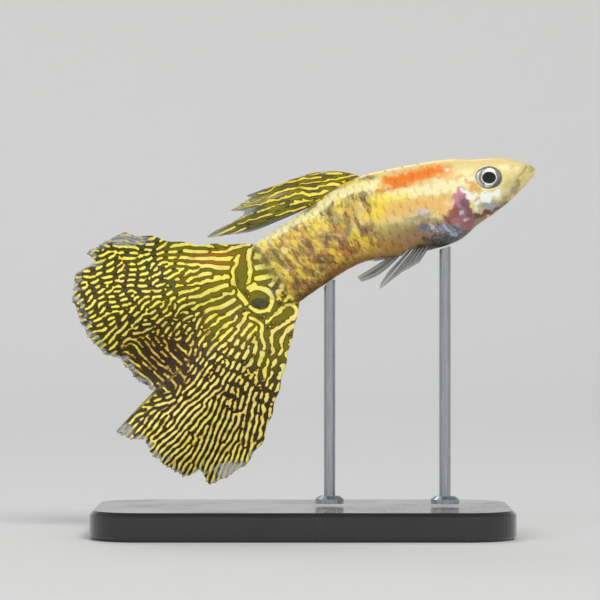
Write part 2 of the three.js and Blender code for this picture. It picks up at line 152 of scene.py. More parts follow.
# the floor turns up all round the object: a profile of radius and height spun about z
def setRoom():
    bend = np.linspace(0, math.pi / 2, 16)
    wall = room["flat"] + room["bend"]
    radius = np.concatenate([[0.5, 60, 300], room["flat"] + room["bend"] * np.sin(bend), [wall]])[:, None]
    height = np.concatenate([[0, 0, 0], room["bend"] * (1 - np.cos(bend)), [room["height"]]])[:, None]
    turn = np.linspace(0, 2 * math.pi, 96, endpoint=False)
    points = np.stack(np.broadcast_arrays(radius * np.cos(turn), radius * np.sin(turn), height), -1)
    faces = gridQuads(len(radius), len(turn), True).tolist()
    faces.append(list(range(len(turn)))[::-1])
    paper = bpy.data.materials.new("pale floor")
    paper.use_nodes = True
    shader = paper.node_tree.nodes["Principled BSDF"]
    shader.inputs["Base Color"].default_value = (*linear(room["colour"]), 1)
    shader.inputs["Roughness"].default_value = 0.8
    mesh = bpy.data.meshes.new("floor")
    mesh.from_pydata((points.reshape(-1, 3) * mm).tolist(), [], faces)
    mesh.polygons.foreach_set("use_smooth", [True] * len(mesh.polygons))
    mesh.flip_normals()
    mesh.materials.append(paper)
    floor = bpy.data.objects.new("floor", mesh)
    scene.collection.objects.link(floor)


lamps = {
    "key": {"at": (260, -620, 700), "size": 420, "power": 4.4, "colour": (1.0, 0.98, 0.95)},
    "fill": {"at": (-520, -400, 360), "size": 420, "power": 1.0, "colour": (0.95, 0.97, 1.0)},
    "back": {"at": (-130, 600, 680), "size": 460, "power": 1.4, "colour": (1.0, 1.0, 1.0)},
}


def setLight():
    target = Vector((0, 0, 25 * mm))
    for name, lamp in lamps.items():
        data = bpy.data.lights.new(name, "AREA")
        data.shape = "DISK"
        data.size = lamp["size"] * mm
        data.energy = lamp["power"]
        data.color = lamp["colour"]
        light = bpy.data.objects.new(name, data)
        light.location = Vector(lamp["at"]) * mm
        light.rotation_euler = (target - light.location).to_track_quat("-Z", "Y").to_euler()
        scene.collection.objects.link(light)
    world = bpy.data.worlds.new("studio")
    world.use_nodes = True
    world.node_tree.nodes["Background"].inputs["Color"].default_value = (0.9, 0.93, 1.0, 1)
    world.node_tree.nodes["Background"].inputs["Strength"].default_value = 0.36
    scene.world = world


setCamera()
setRoom()
setLight()
print("camera, floor and light set")


# x and z are the middle of each section from the snout to the tail root, up and down its half
# heights, side its half width and square how boxy it is (1 is an ellipse).
body = {
    "x": [24.42, 24.13, 23.42, 22.47, 21.0, 19.2, 17.2, 15.2, 12.6,
          10.0, 7.4, 5.2, 3.2, 1.4, -0.4, -2.0, -3.6, -5.1],
    "z": [38.34, 38.24, 37.94, 37.5, 36.93, 36.3, 35.55, 34.93, 34.42,
          33.92, 33.3, 32.62, 31.62, 30.5, 29.24, 28.03, 26.8, 25.63],
    "up": [0, 0.52, 1.3, 2.15, 2.8, 3.35, 4.15, 4.5, 4.6,
           4.6, 4.6, 4.22, 3.75, 3.62, 3.66, 3.84, 3.95, 3.98],
    "down": [0, 0.5, 0.85, 1.35, 2.05, 2.72, 3.25, 4.25, 4.6,
             4.6, 4.45, 4.2, 4.05, 4.0, 3.96, 3.88, 3.84, 3.8],
    "side": [0, 0.8, 1.2, 1.48, 1.8, 2.08, 2.32, 2.48, 2.55,
             2.48, 2.28, 2.02, 1.76, 1.52, 1.3, 1.08, 0.82, 0.6],
    "square": [0.95, 0.9, 0.85, 0.8, 0.8, 0.82, 0.88, 0.92, 0.95,
               0.95, 0.95, 0.95, 0.95, 0.95, 0.92, 0.9, 0.9, 0.9],
    "sway": 1.3,  # how far the tail root bends to the left
    "swayFrom": 16.0,
    "root": 16.0,  # the tail root's station
}


# y of the body's middle: a parabola behind swayFrom
def sway(x):
    return body["sway"] * np.maximum(0, (body["swayFrom"] - x) / (body["swayFrom"] + 3.6)) ** 2


# a smooth curve through the values of a list at whole stations (Catmull-Rom)
def through(values, s):
    v = np.asarray(values, dtype=float)
    padded = np.concatenate([[2 * v[0] - v[1]], v, [2 * v[-1] - v[-2]]])
    i = np.clip(np.floor(s).astype(int), 0, len(v) - 2)
    t = s - i
    a, b, c, d = padded[i], padded[i + 1], padded[i + 2], padded[i + 3]
    return b + 0.5 * t * (c - a + t * (2 * a - 5 * b + 4 * c - d + t * (3 * (b - c) + d - a)))


def spine(s):
    x = through(body["x"], s)
    return np.stack([x, sway(x), through(body["z"], s)], -1)


# middle, tailward, side and up directions of the section at station s
def section(s):
    s = np.asarray(s, dtype=float)
    step = 0.02
    back = spine(s + step) - spine(s - step)
    back /= np.linalg.norm(back, axis=-1, keepdims=True)
    side = np.cross(back, [0.0, 0.0, 1.0])
    side /= np.linalg.norm(side, axis=-1, keepdims=True)
    return spine(s), back, side, np.cross(side, back)


# a point of the body: middle + up*height*cos^square + side*width*sin^square, grown outwards
def bodyPoint(s, angle, grow=0.0):
    s, angle, grow = np.broadcast_arrays(np.asarray(s, dtype=float), angle, grow)
    middle, _, side, up = section(s)
    first = np.clip(np.floor(s).astype(int), 0, len(body["x"]) - 2)
    squares = np.asarray(body["square"])
    square = blend(squares[first], squares[first + 1], s - first)
    c, n = np.cos(angle), np.sin(angle)
    half = np.maximum(0, np.where(c > 0, through(body["up"], s), through(body["down"], s)))
    wide = np.maximum(0, through(body["side"], s))
    height = (half + grow) * np.sign(c) * np.abs(c) ** square
    width = (wide + grow) * np.sign(n) * np.abs(n) ** square
    return middle + up * height[..., None] + side * width[..., None]


head = {
    "eye": (19.4, 37.4),
    "eyeRadii": (1.456, 1.232),  # a little longer than high
    "rim": 0.06,
    "socket": 1.0,
    "lip": 0.09,
    "nostrilDepth": 0.18,
    "gillStep": 0.16,
    "mouth": [(23.55, 39.0), (23.32, 38.45), (22.95, 37.85), (22.6, 37.5)],
    "nostril": (21.85, 38.65),
    "gill": {"middle": (17.55, 34.55), "radii": (3.35, 2.75), "turn": -16.0},
}


# how far a point lies outside (1 = on it) a turned ellipse in the side view
def ellipse(x, z, middle, radii, turn=0.0):
    c, n = math.cos(math.radians(turn)), math.sin(math.radians(turn))
    dx, dz = x - middle[0], z - middle[1]
    return np.hypot((dx * c + dz * n) / radii[0], (dz * c - dx * n) / radii[1])


# how far the skin stands out of the plain body: lips and mouth, eye socket, nostril, gill cover
def relief(points, angle):
    x, z = points[..., 0], points[..., 2]
    flank = np.abs(np.sin(angle))
    d, along = toLine(x, z, head["mouth"])
    width = blend(0.16, 0.055, smooth(0, 0.3, along))
    depth = blend(0.5, 0.22, smooth(0, 0.6, along)) * (1 - 0.5 * smooth(0.8, 1.0, along))
    out = -depth * np.exp(-(d / width) ** 2)
    out += head["lip"] * np.exp(-((d - 0.27) / 0.16) ** 2)
    eye = ellipse(x, z, head["eye"], head["eyeRadii"])
    out += head["rim"] * np.exp(-((eye - 1.04) / 0.08) ** 2) * flank
    out -= head["socket"] * (1 - smooth(0.8, 0.94, eye)) * flank
    hole = np.hypot(x - head["nostril"][0], z - head["nostril"][1])
    nostril = 0.06 * np.exp(-((hole - 0.2) / 0.1) ** 2) - head["nostrilDepth"] * np.exp(-(hole / 0.13) ** 2)
    out += nostril * smooth(0.1, 0.4, flank)
    gill = ellipse(x, z, head["gill"]["middle"], head["gill"]["radii"], head["gill"]["turn"])
    behind = smooth(19.2, 17.2, x)
    out += behind * flank * head["gillStep"] * (1 - smooth(1.0, 1.035, gill)) * smooth(0.3, 0.95, gill)
    out -= behind * flank * 0.07 * np.exp(-((gill - 1.06) / 0.03) ** 2)
    return out


# Each patch of colour lies on the side view, one over the other. Soft is the width of its edge,
# amount how much it covers and shine how silver it is. A spot is an ellipse turned by degrees.
def spot(middle, size, turn, soft, colour, amount, shine=0.0):
    return {"middle": middle, "size": size, "turn": turn, "soft": soft, "paint": (colour, amount, shine)}


# a streak follows a bent line and widens or narrows along it
def streak(line, wide, soft, colour, amount, shine=0.0):
    return {"line": line, "wide": wide, "soft": soft, "paint": (colour, amount, shine)}


markings = [
    # flank and belly ground; the first three streaks darken the lower flank towards the belly, partly the
    # fish's brown and partly painted shade
    streak([(14.91, 30.3), (10.19, 28.62), (5.98, 27.99), (1.57, 25.47), (-0.53, 24.21)], (1.1, 1.3), 0.9,
           (0.53, 0.33, 0.09), 0.9),
    streak([(14.38, 31.77), (10.19, 30.93), (5.98, 30.3), (1.78, 28.2), (-1.36, 26.21)], (1.25, 1.1), 1.1,
           (0.66, 0.43, 0.15), 0.9),
    streak([(5.14, 29.46), (1.57, 26.42), (-0.32, 24.95)], (0.35, 0.5), 0.5, (0.42, 0.29, 0.09), 0.7),
    spot((9.34, 31.77), (2.2, 0.9), 3, 0.9, (0.66, 0.58, 0.36), 0.75),
    streak([(15.64, 34.61), (12.81, 34.5), (9.97, 34.3), (7.25, 33.88)], (0.85, 1.0), 0.8,
           (0.96, 0.76, 0.43), 0.9),
    spot((7.67, 34.5), (1.05, 1.5), -12, 0.6, (0.98, 0.86, 0.3), 0.9),
    streak([(7.25, 32.41), (5.14, 30.93), (3.36, 29.88)], (0.5, 0.6), 0.8, (0.72, 0.52, 0.24), 0.6),
    streak([(10.71, 33.14), (12.29, 33.14), (14.17, 32.83)], (0.14, 0.18), 0.35, (0.6, 0.58, 0.42), 0.7),
    spot((12.49, 33.77), (0.95, 0.32), 0, 0.4, (0.84, 0.8, 0.8), 0.8, 0.4),
    # dark throat and the blue silver patch behind the gill
    streak([(17.54, 31.36), (15.64, 30.72), (13.54, 30.09), (11.65, 29.78)], (0.75, 0.5), 0.8,
           (0.2, 0.19, 0.16), 0.92),
    streak([(16.27, 31.46), (14.38, 31.14), (12.81, 30.93)], (0.5, 0.4), 0.6, (0.24, 0.28, 0.3), 0.9, 0.3),
    streak([(16.48, 32.09), (14.38, 32.09), (12.49, 32.2)], (0.5, 0.5), 0.5, (0.47, 0.49, 0.54), 0.9, 0.4),
    streak([(14.7, 32.61), (15.12, 31.98), (15.54, 31.36)], (0.16, 0.1), 0.15, (0.76, 0.79, 0.88), 0.9,
           0.6),
    streak([(13.23, 32.51), (13.65, 32.09), (13.96, 31.77)], (0.16, 0.1), 0.15, (0.86, 0.85, 0.84), 0.9,
           0.6),
    spot((15.96, 31.46), (0.28, 0.12), -10, 0.2, (0.74, 0.79, 0.9), 0.9, 0.6),
    # back: pale ridge, cream stripe and the orange patch
    streak([(21.21, 39.23), (17.54, 39.23), (13.33, 39.02), (9.66, 38.39), (5.98, 37.76)], (0.55, 0.35),
           0.4, (0.95, 0.84, 0.56), 0.75),
    streak([(7.67, 37.13), (5.98, 37.13), (4.41, 37.02)], (0.35, 0.3), 0.4, (0.74, 0.66, 0.42), 0.8),
    # cream stripe along the back: partly the fish's pale stripe, partly a painted highlight
    streak([(17.11, 37.13), (14.8, 36.39), (12.71, 36.08), (10.39, 35.87), (8.08, 35.97), (5.77, 36.5),
           (4.41, 35.97), (2.83, 34.82), (0.94, 33.56), (-0.73, 32.72)], (0.62, 0.42), 0.4,
           (1.0, 0.96, 0.74), 0.95),
    streak([(11.03, 35.55), (9.13, 35.24), (7.88, 35.34)], (0.35, 0.5), 0.5, (1.0, 0.94, 0.44), 0.85),
    streak([(15.01, 38.18), (12.81, 37.87), (10.5, 37.23), (8.29, 36.61)], (0.68, 0.85), 0.6,
           (0.97, 0.63, 0.28), 0.85),
    streak([(13.96, 38.18), (12.07, 37.66), (10.19, 37.13), (8.19, 36.61)], (0.46, 0.7), 0.6,
           (0.96, 0.51, 0.11), 0.98),
    spot((10.19, 36.5), (0.7, 0.3), 10, 0.4, (0.94, 0.5, 0.2), 0.7),
    streak([(15.12, 37.13), (15.75, 37.23), (16.48, 37.66)], (0.2, 0.25), 0.3, (0.97, 0.72, 0.42), 0.6),
    spot((15.12, 38.18), (0.3, 0.22), 20, 0.2, (1.0, 0.99, 0.95), 0.9, 0.3),
    spot((14.07, 37.23), (0.3, 0.16), 20, 0.2, (0.98, 0.94, 0.84), 0.8, 0.3),
    spot((8.71, 36.5), (0.3, 0.2), 0, 0.2, (0.9, 0.88, 0.7), 0.7),
    spot((14.8, 35.45), (0.5, 0.25), 15, 0.4, (0.95, 0.66, 0.32), 0.7),
    # head
    streak([(23.73, 38.6), (22.99, 37.66), (21.52, 36.61)], (0.5, 0.6), 0.9, (0.78, 0.74, 0.47), 0.85),
    # darker along the underside of the snout: partly the fish's colour, partly painted shade
    streak([(22.57, 36.81), (21.52, 35.55), (20.58, 34.5)], (0.35, 0.3), 0.5, (0.6, 0.52, 0.38), 0.8),
    spot((21.21, 35.87), (0.5, 0.5), 0, 0.6, (0.84, 0.77, 0.63), 0.7),
    streak([(24.15, 38.6), (23.94, 38.18)], (0.3, 0.3), 0.35, (0.6, 0.58, 0.38), 0.7),
    streak([(17.11, 37.13), (17.64, 36.61), (18.16, 36.19)], (0.28, 0.45), 0.25, (0.91, 0.68, 0.4), 0.9),
    spot((17.64, 37.23), (0.5, 0.2), 30, 0.25, (1.0, 0.97, 0.88), 0.8, 0.3),
    spot((19.43, 34.5), (1.25, 0.42), 12, 0.4, (0.62, 0.62, 0.62), 0.9, 0.5),
    streak([(21.63, 34.82), (20.68, 34.3), (19.53, 33.88), (18.38, 33.45), (17.75, 33.03)], (0.1, 0.42),
           0.22, (0.38, 0.22, 0.15), 0.95),
    streak([(20.68, 33.77), (19.63, 33.56)], (0.12, 0.14), 0.2, (0.86, 0.52, 0.55), 0.9),
    # brown under the chin: partly the fish's colour, partly painted shade
    streak([(19.0, 33.24), (17.95, 32.2), (17.11, 31.36)], (0.2, 0.45), 0.4, (0.42, 0.31, 0.18), 0.85),
    streak([(19.11, 33.24), (18.59, 32.72)], (0.1, 0.1), 0.15, (0.72, 0.36, 0.25), 0.8),
    # gill cover
    spot((15.96, 33.03), (0.85, 0.5), 35, 0.3, (0.62, 0.38, 0.4), 0.9),
    streak([(16.59, 35.77), (16.17, 34.72), (16.7, 33.66), (17.11, 32.83)], (0.5, 0.9), 0.3,
           (0.6, 0.4, 0.46), 0.97),
    streak([(16.38, 36.08), (15.75, 34.92)], (0.32, 0.3), 0.2, (0.8, 0.54, 0.6), 0.95),
    streak([(17.22, 35.55), (16.48, 35.34), (16.17, 34.5)], (0.2, 0.25), 0.2, (0.72, 0.47, 0.6), 0.9),
    streak([(16.91, 34.92), (17.32, 34.19), (17.54, 33.66)], (0.35, 0.3), 0.2, (0.48, 0.33, 0.36), 0.95),
    streak([(15.85, 33.88), (15.33, 33.24), (14.91, 32.93)], (0.5, 0.4), 0.25, (0.58, 0.32, 0.3), 0.95),
    spot((17.22, 32.61), (0.5, 0.28), 10, 0.3, (0.6, 0.36, 0.3), 0.85),
    spot((16.48, 33.56), (0.13, 0.13), 0, 0.1, (0.78, 0.76, 0.78), 0.9, 0.5),
    spot((16.85, 32.93), (0.14, 0.13), 0, 0.1, (0.8, 0.76, 0.78), 0.9, 0.5),
    spot((17.27, 33.09), (0.13, 0.16), 0, 0.1, (0.8, 0.78, 0.78), 0.9, 0.5),
    spot((15.12, 34.72), (0.3, 0.3), 0, 0.25, (0.93, 0.88, 0.85), 0.8, 0.4),
    # white patches under the eye
    streak([(18.79, 35.55), (19.63, 35.55), (20.58, 35.97)], (0.42, 0.16), 0.14, (0.97, 1.0, 0.98), 1.0,
           0.25),
    spot((19.32, 35.13), (0.55, 0.35), 10, 0.14, (0.97, 1.0, 0.98), 1.0, 0.25),
    streak([(17.64, 35.34), (17.11, 35.77), (16.59, 36.08)], (0.36, 0.16), 0.14, (0.98, 0.99, 0.97), 1.0,
           0.25),
    streak([(18.38, 34.92), (17.95, 34.61), (18.06, 34.3)], (0.16, 0.2), 0.12, (0.96, 0.98, 0.97), 1.0,
           0.25),
    streak([(18.38, 35.24), (17.95, 34.92), (18.16, 34.19)], (0.06, 0.05), 0.1, (0.45, 0.45, 0.48), 0.5),
    spot((18.48, 35.77), (0.25, 0.3), 0, 0.2, (0.88, 0.82, 0.58), 0.8),
    # stalk and tail root
    spot((-2.1, 26.31), (1.1, 1.2), 0, 0.8, (0.58, 0.54, 0.17), 0.8),
    streak([(0.73, 30.41), (-0.53, 29.36), (-1.99, 28.31)], (0.45, 0.7), 0.5, (0.5, 0.35, 0.16), 0.75),
    spot((-4.3, 29.15), (0.65, 0.75), 0, 0.4, (0.58, 0.55, 0.26), 0.9),
    spot((-3.36, 25.79), (0.9, 0.7), -40, 0.4, (0.42, 0.35, 0.22), 0.85),
    # painted highlight: a short white glint on the stalk, made silver by its shine
    streak([(-1.89, 27.73), (-1.57, 27.94), (-1.21, 28.26)], (0.2, 0.18), 0.1, (0.98, 0.94, 0.98), 1.0,
           0.6),
]


paintWork = {
    "ground": (0.94, 0.87, 0.59),
    "wobble": 0.10,
    "wobbleSize": 0.8,
    "fray": 0.05,
    "fraySize": 0.3,
    "softer": 1.25,
}


# colours of points of the body: each marking mixed over the last, with edges moved by noise
def paint(points):
    x = points[..., 0] + paintWork["wobble"] * waves(points, paintWork["wobbleSize"], 11)
    z = points[..., 2] + paintWork["wobble"] * waves(points, paintWork["wobbleSize"], 12)
    x = x + paintWork["fray"] * waves(points, paintWork["fraySize"], 13)
    z = z + paintWork["fray"] * waves(points, paintWork["fraySize"], 14)
    colour = np.empty(points.shape)
    colour[...] = linear(paintWork["ground"])
    shine = np.zeros(points.shape[:-1])
    for mark in markings:
        half = 0.5 * mark["soft"] * paintWork["softer"]
        if "line" in mark:
            d, along = toLine(x, z, mark["line"])
            inside = blend(*mark["wide"], along) - d
        else:
            inside = min(mark["size"]) * (1 - ellipse(x, z, mark["middle"], mark["size"], mark["turn"]))
        tone, amount, silver = mark["paint"]
        mask = amount * smooth(-half, half, inside)
        colour = tint(colour, tone, mask)
        shine = blend(shine, silver, mask)
    return colour, shine


def newMaterial(name):
    material = bpy.data.materials.new(name)
    material.use_nodes = True
    tree = material.node_tree
    return material, tree, tree.nodes["Principled BSDF"]


# gives a node's inputs, by name or number, a number, a colour as the eye reads it or a link
def setInputs(tree, node, values):
    for key, value in values.items():
        if isinstance(value, tuple):
            node.inputs[key].default_value = (*linear(value), 1)
        elif isinstance(value, (int, float)):
            node.inputs[key].default_value = value
        else:
            tree.links.new(value, node.inputs[key])


def mathNode(tree, operation, *values, clamp=False):
    node = tree.nodes.new("ShaderNodeMath")
    node.operation = operation
    node.use_clamp = clamp
    setInputs(tree, node, dict(enumerate(values)))
    return node.outputs[0]


def times(tree, a, b):
    return mathNode(tree, "MULTIPLY", a, b)


# the share 0 gives colour a, and 1 gives b
def mixNode(tree, share, a, b):
    node = tree.nodes.new("ShaderNodeMix")
    node.data_type = "RGBA"
    setInputs(tree, node, {"Factor": share, 6: a, 7: b})
    return node.outputs[2]


def rangeNode(tree, value, low, high, to=(0.0, 1.0)):
    node = tree.nodes.new("ShaderNodeMapRange")
    node.interpolation_type = "SMOOTHSTEP"
    ends = {"From Min": low, "From Max": high, "To Min": to[0], "To Max": to[1]}
    setInputs(tree, node, {"Value": value, **ends})
    return node.outputs["Result"]


def noiseNode(tree, place, scale, detail):
    node = tree.nodes.new("ShaderNodeTexNoise")
    setInputs(tree, node, {"Vector": place, "Scale": scale, "Detail": detail})
    return node.outputs["Fac"]


# a named value of the piece's points
def markNode(tree, name, output="Fac"):
    node = tree.nodes.new("ShaderNodeAttribute")
    node.attribute_name = name
    return node.outputs[output]


# a shared effect: fine pigment grain, out as a shade near 1 and a height for the bump
def makeGrain():
    group = bpy.data.node_groups.new("pigmentGrain", "ShaderNodeTree")
    sockets = {"Size per mm": "INPUT", "Contrast": "INPUT", "Shade": "OUTPUT", "Height": "OUTPUT"}
    for name, way in sockets.items():
        group.interface.new_socket(name, in_out=way, socket_type="NodeSocketFloat")
    given = group.nodes.new("NodeGroupInput").outputs
    place = group.nodes.new("ShaderNodeTexCoord").outputs["Object"]
    perMetre = times(group, given["Size per mm"], 1000.0)
    coarse = noiseNode(group, place, times(group, perMetre, 1.0), 3.0)
    fine = noiseNode(group, place, times(group, perMetre, 3.1), 2.0)
    height = mathNode(group, "ADD", times(group, coarse, 0.6), times(group, fine, 0.4))
    centred = times(group, mathNode(group, "SUBTRACT", height, 0.5), 3.0)
    shade = mathNode(group, "ADD", times(group, centred, given["Contrast"]), 1.0)
    setInputs(group, group.nodes.new("NodeGroupOutput"), {"Shade": shade, "Height": height})
    return group


grain = makeGrain()


# the grain's shade and height
def addGrain(tree, perMm, contrast):
    node = tree.nodes.new("ShaderNodeGroup")
    node.node_tree = grain
    setInputs(tree, node, {"Size per mm": perMm, "Contrast": contrast})
    return node.outputs["Shade"], node.outputs["Height"]


def shaded(tree, colour, shade):
    node = tree.nodes.new("ShaderNodeVectorMath")
    node.operation = "SCALE"
    setInputs(tree, node, {0: colour, "Scale": shade})
    return node.outputs["Vector"]


# the normal of a surface with this height, depth in mm
def bumpNode(tree, height, depth):
    node = tree.nodes.new("ShaderNodeBump")
    setInputs(tree, node, {"Strength": 1.0, "Distance": depth * mm, "Height": height})
    return node.outputs["Normal"]


skinFinish = {
    "grainPerMm": 5.0,
    "contrast": 0.16,
    "bump": 0.012,
    "roughness": 0.34,
    "coat": 0.22,
    "glint": (0.86, 0.9, 1.0),
    "hairs": (2.6, 0.8, 0.8),  # noise per unit of flow, along the body and around it
    "hairPale": (1.0, 0.90, 0.46),
    "hairDark": (0.40, 0.25, 0.06),
    "facets": (0.9, 0.45, 0.45),
    "facetPale": (1.0, 0.88, 0.26),
    "facetDark": (0.40, 0.29, 0.05),
}


# pale and dark touches across the body, by noise stretched along the flow mark
def brushed(tree, colour, stretch, pale, dark, edges, share):
    flow = tree.nodes.new("ShaderNodeVectorMath")
    flow.operation = "MULTIPLY"
    flow.inputs[1].default_value = stretch
    tree.links.new(markNode(tree, "flow", "Vector"), flow.inputs[0])
    noise = noiseNode(tree, flow.outputs["Vector"], 1.0, 2.0)
    brush = markNode(tree, "brush")
    near, far = edges
    light = rangeNode(tree, noise, 0.5 + near, 0.5 + far, (0.0, share))
    shadow = rangeNode(tree, noise, 0.5 - near, 0.5 - far, (0.0, share))
    colour = mixNode(tree, times(tree, light, brush), colour, pale)
    return mixNode(tree, times(tree, shadow, brush), colour, dark)


# wet skin: painted colour, pigment grain, and silver where the shine mark says so
def skinMaterial():
    material, tree, shader = newMaterial("wet skin")
    colour = markNode(tree, "paint", "Color")
    shine = markNode(tree, "shine")
    shade, height = addGrain(tree, skinFinish["grainPerMm"], skinFinish["contrast"])
    colour = shaded(tree, colour, shade)
    facets = skinFinish["facetPale"], skinFinish["facetDark"]
    colour = brushed(tree, colour, skinFinish["facets"], *facets, (0.04, 0.08), 0.66)
    hairs = skinFinish["hairPale"], skinFinish["hairDark"]
    colour = brushed(tree, colour, skinFinish["hairs"], *hairs, (0.05, 0.18), 0.5)
    glint = times(tree, rangeNode(tree, height, 0.5, 0.62), times(tree, shine, 0.8))
    setInputs(tree, shader, {
        "Base Color": mixNode(tree, glint, colour, skinFinish["glint"]),
        "Metallic": times(tree, shine, 0.55),
        "Roughness": mathNode(tree, "SUBTRACT", skinFinish["roughness"], times(tree, shine, 0.12)),
        "Specular IOR Level": 0.35,
        "Coat Weight": skinFinish["coat"],
        "Coat Roughness": 0.16,
        "Normal": bumpNode(tree, height, skinFinish["bump"]),
    })
    return material


skin = skinMaterial()
print("materials made")


# the fins' net of lines grows from seeded noise. Each round keeps only waves of the local
# wavelength and direction (a bank of filters mixed by weights) and flattens them with tanh;
# "dots" breaks lines into dots, "rough" frays them, and drawn strokes are held in every round.
def growLace(net, rules, strokes=()):
    low, high, pitch = net["low"], net["high"], net["pitch"]
    x, z = np.meshgrid(np.arange(low[0], high[0], pitch), np.arange(low[1], high[1], pitch))
    rule = rules(x, z)
    across = rule["direction"] + math.pi / 2
    sizes = np.geomspace(rule["wavelength"].min(), rule["wavelength"].max() * 1.001, 4)
    place = np.log(rule["wavelength"] / sizes[0]) / np.log(sizes[1] / sizes[0])
    kx = np.fft.rfftfreq(x.shape[1], pitch)[None, :]
    kz = np.fft.fftfreq(x.shape[0], pitch)[:, None]
    radius = np.hypot(kx, kz) + 1e-9
    turns = math.pi * np.arange(8) / 8
    petals = [np.abs(np.cos(np.arctan2(kz, kx) - turn)) ** 12 for turn in turns]
    shares = [np.exp(rule["keep"] * (np.cos(2 * (turn - across)) - 1)) for turn in turns]
    held = [strokeShare(x, z, drawn) for drawn in strokes]
    rng = np.random.default_rng(net["seed"])
    field = rng.normal(size=x.shape)
    fray = np.fft.rfft2(rng.normal(size=x.shape)) * np.exp(-(np.log(radius * 0.6) / 0.5) ** 2)
    speck = np.fft.irfft2(fray, s=x.shape)
    speck /= speck.std()
    for _ in range(net["rounds"]):
        spectrum = np.fft.rfft2(field)
        total = np.zeros(x.shape)
        for m, size in enumerate(sizes):
            ring = spectrum * np.exp(-(np.log(radius * size) / 0.25) ** 2)
            here = np.clip(1 - np.abs(place - m), 0, 1)
            for petal, share in zip(petals, shares):
                total += here * share * np.fft.irfft2(ring * petal, s=x.shape)
        field = np.tanh(1.7 * total / total.std() - rule["dots"] + rule["rough"] * speck)
        for value, share in held:
            field = blend(field, value, share)
    return {"field": field, "low": low, "pitch": pitch}


# a drawn line of a net; wide holds its half widths at both ends, and a bare one only clears its place
def stroke(line, wide, bare=False):
    return {"line": line, "wide": wide, "bare": bare}


# the value a stroke gives the net, 1 in its middle and -1 beside it, and how firmly it holds
def strokeShare(x, z, drawn):
    flat = np.stack([x, z], -1)
    uneven = (0.07 * waves(flat, 1.3, 61) + 0.03 * waves(flat, 0.5, 62)) * min(1.0, 3.5 * drawn["wide"][0])
    d, along = toLine(x + uneven, z - uneven, smoothLine(drawn["line"]))
    inside = blend(*drawn["wide"], along) * (1 + 1.5 * uneven) - d
    if drawn["bare"]:
        return -1.0, smooth(-0.1, 0.1, inside)
    return np.clip(inside / 0.12, -1, 1), np.exp(-(np.maximum(0, -inside - 0.1) / 0.14) ** 2)


# points of a smooth curve through those of a line
def smoothLine(line, steps=5):
    places = np.linspace(0, len(line) - 1, steps * (len(line) - 1) + 1)
    points = np.asarray(line, dtype=float)
    return list(zip(through(points[:, 0], places), through(points[:, 1], places)))


# value of a grown net at points, straight between its samples
def sampleLace(grown, x, z):
    field, pitch = grown["field"], grown["pitch"]
    u = np.clip((x - grown["low"][0]) / pitch, 0, field.shape[1] - 1.001)
    v = np.clip((z - grown["low"][1]) / pitch, 0, field.shape[0] - 1.001)
    i, j = np.floor(v).astype(int), np.floor(u).astype(int)
    fv, fu = v - i, u - j
    near = blend(field[i, j], field[i, j + 1], fu)
    return blend(near, blend(field[i + 1, j], field[i + 1, j + 1], fu), fv)


laceFinish = {
    "dark": (0.12, 0.09, 0.02),
    "amber": (0.72, 0.46, 0.09),
    "core": (1.0, 0.99, 0.60),
    "glass": (0.27, 0.31, 0.36),
    "glassRay": (0.80, 0.79, 0.72),
    "outlineFrom": (-0.75, -0.12),
    "amberFrom": (-0.06, 0.14),
    "lineFrom": (0.1, 0.4),
    "coreFrom": (0.6, 0.98),
}


# the net's colours worked out on points, for the skin beside the tail fin
def laceColour(field, ground, line):
    colour = tint(ground, laceFinish["dark"], 0.8 * smooth(*laceFinish["outlineFrom"], field))
    colour = tint(colour, laceFinish["amber"], smooth(*laceFinish["amberFrom"], field))
    colour = blend(colour, line, smooth(*laceFinish["lineFrom"], field)[..., None])
    return tint(colour, laceFinish["core"], 0.5 * smooth(*laceFinish["coreFrom"], field))


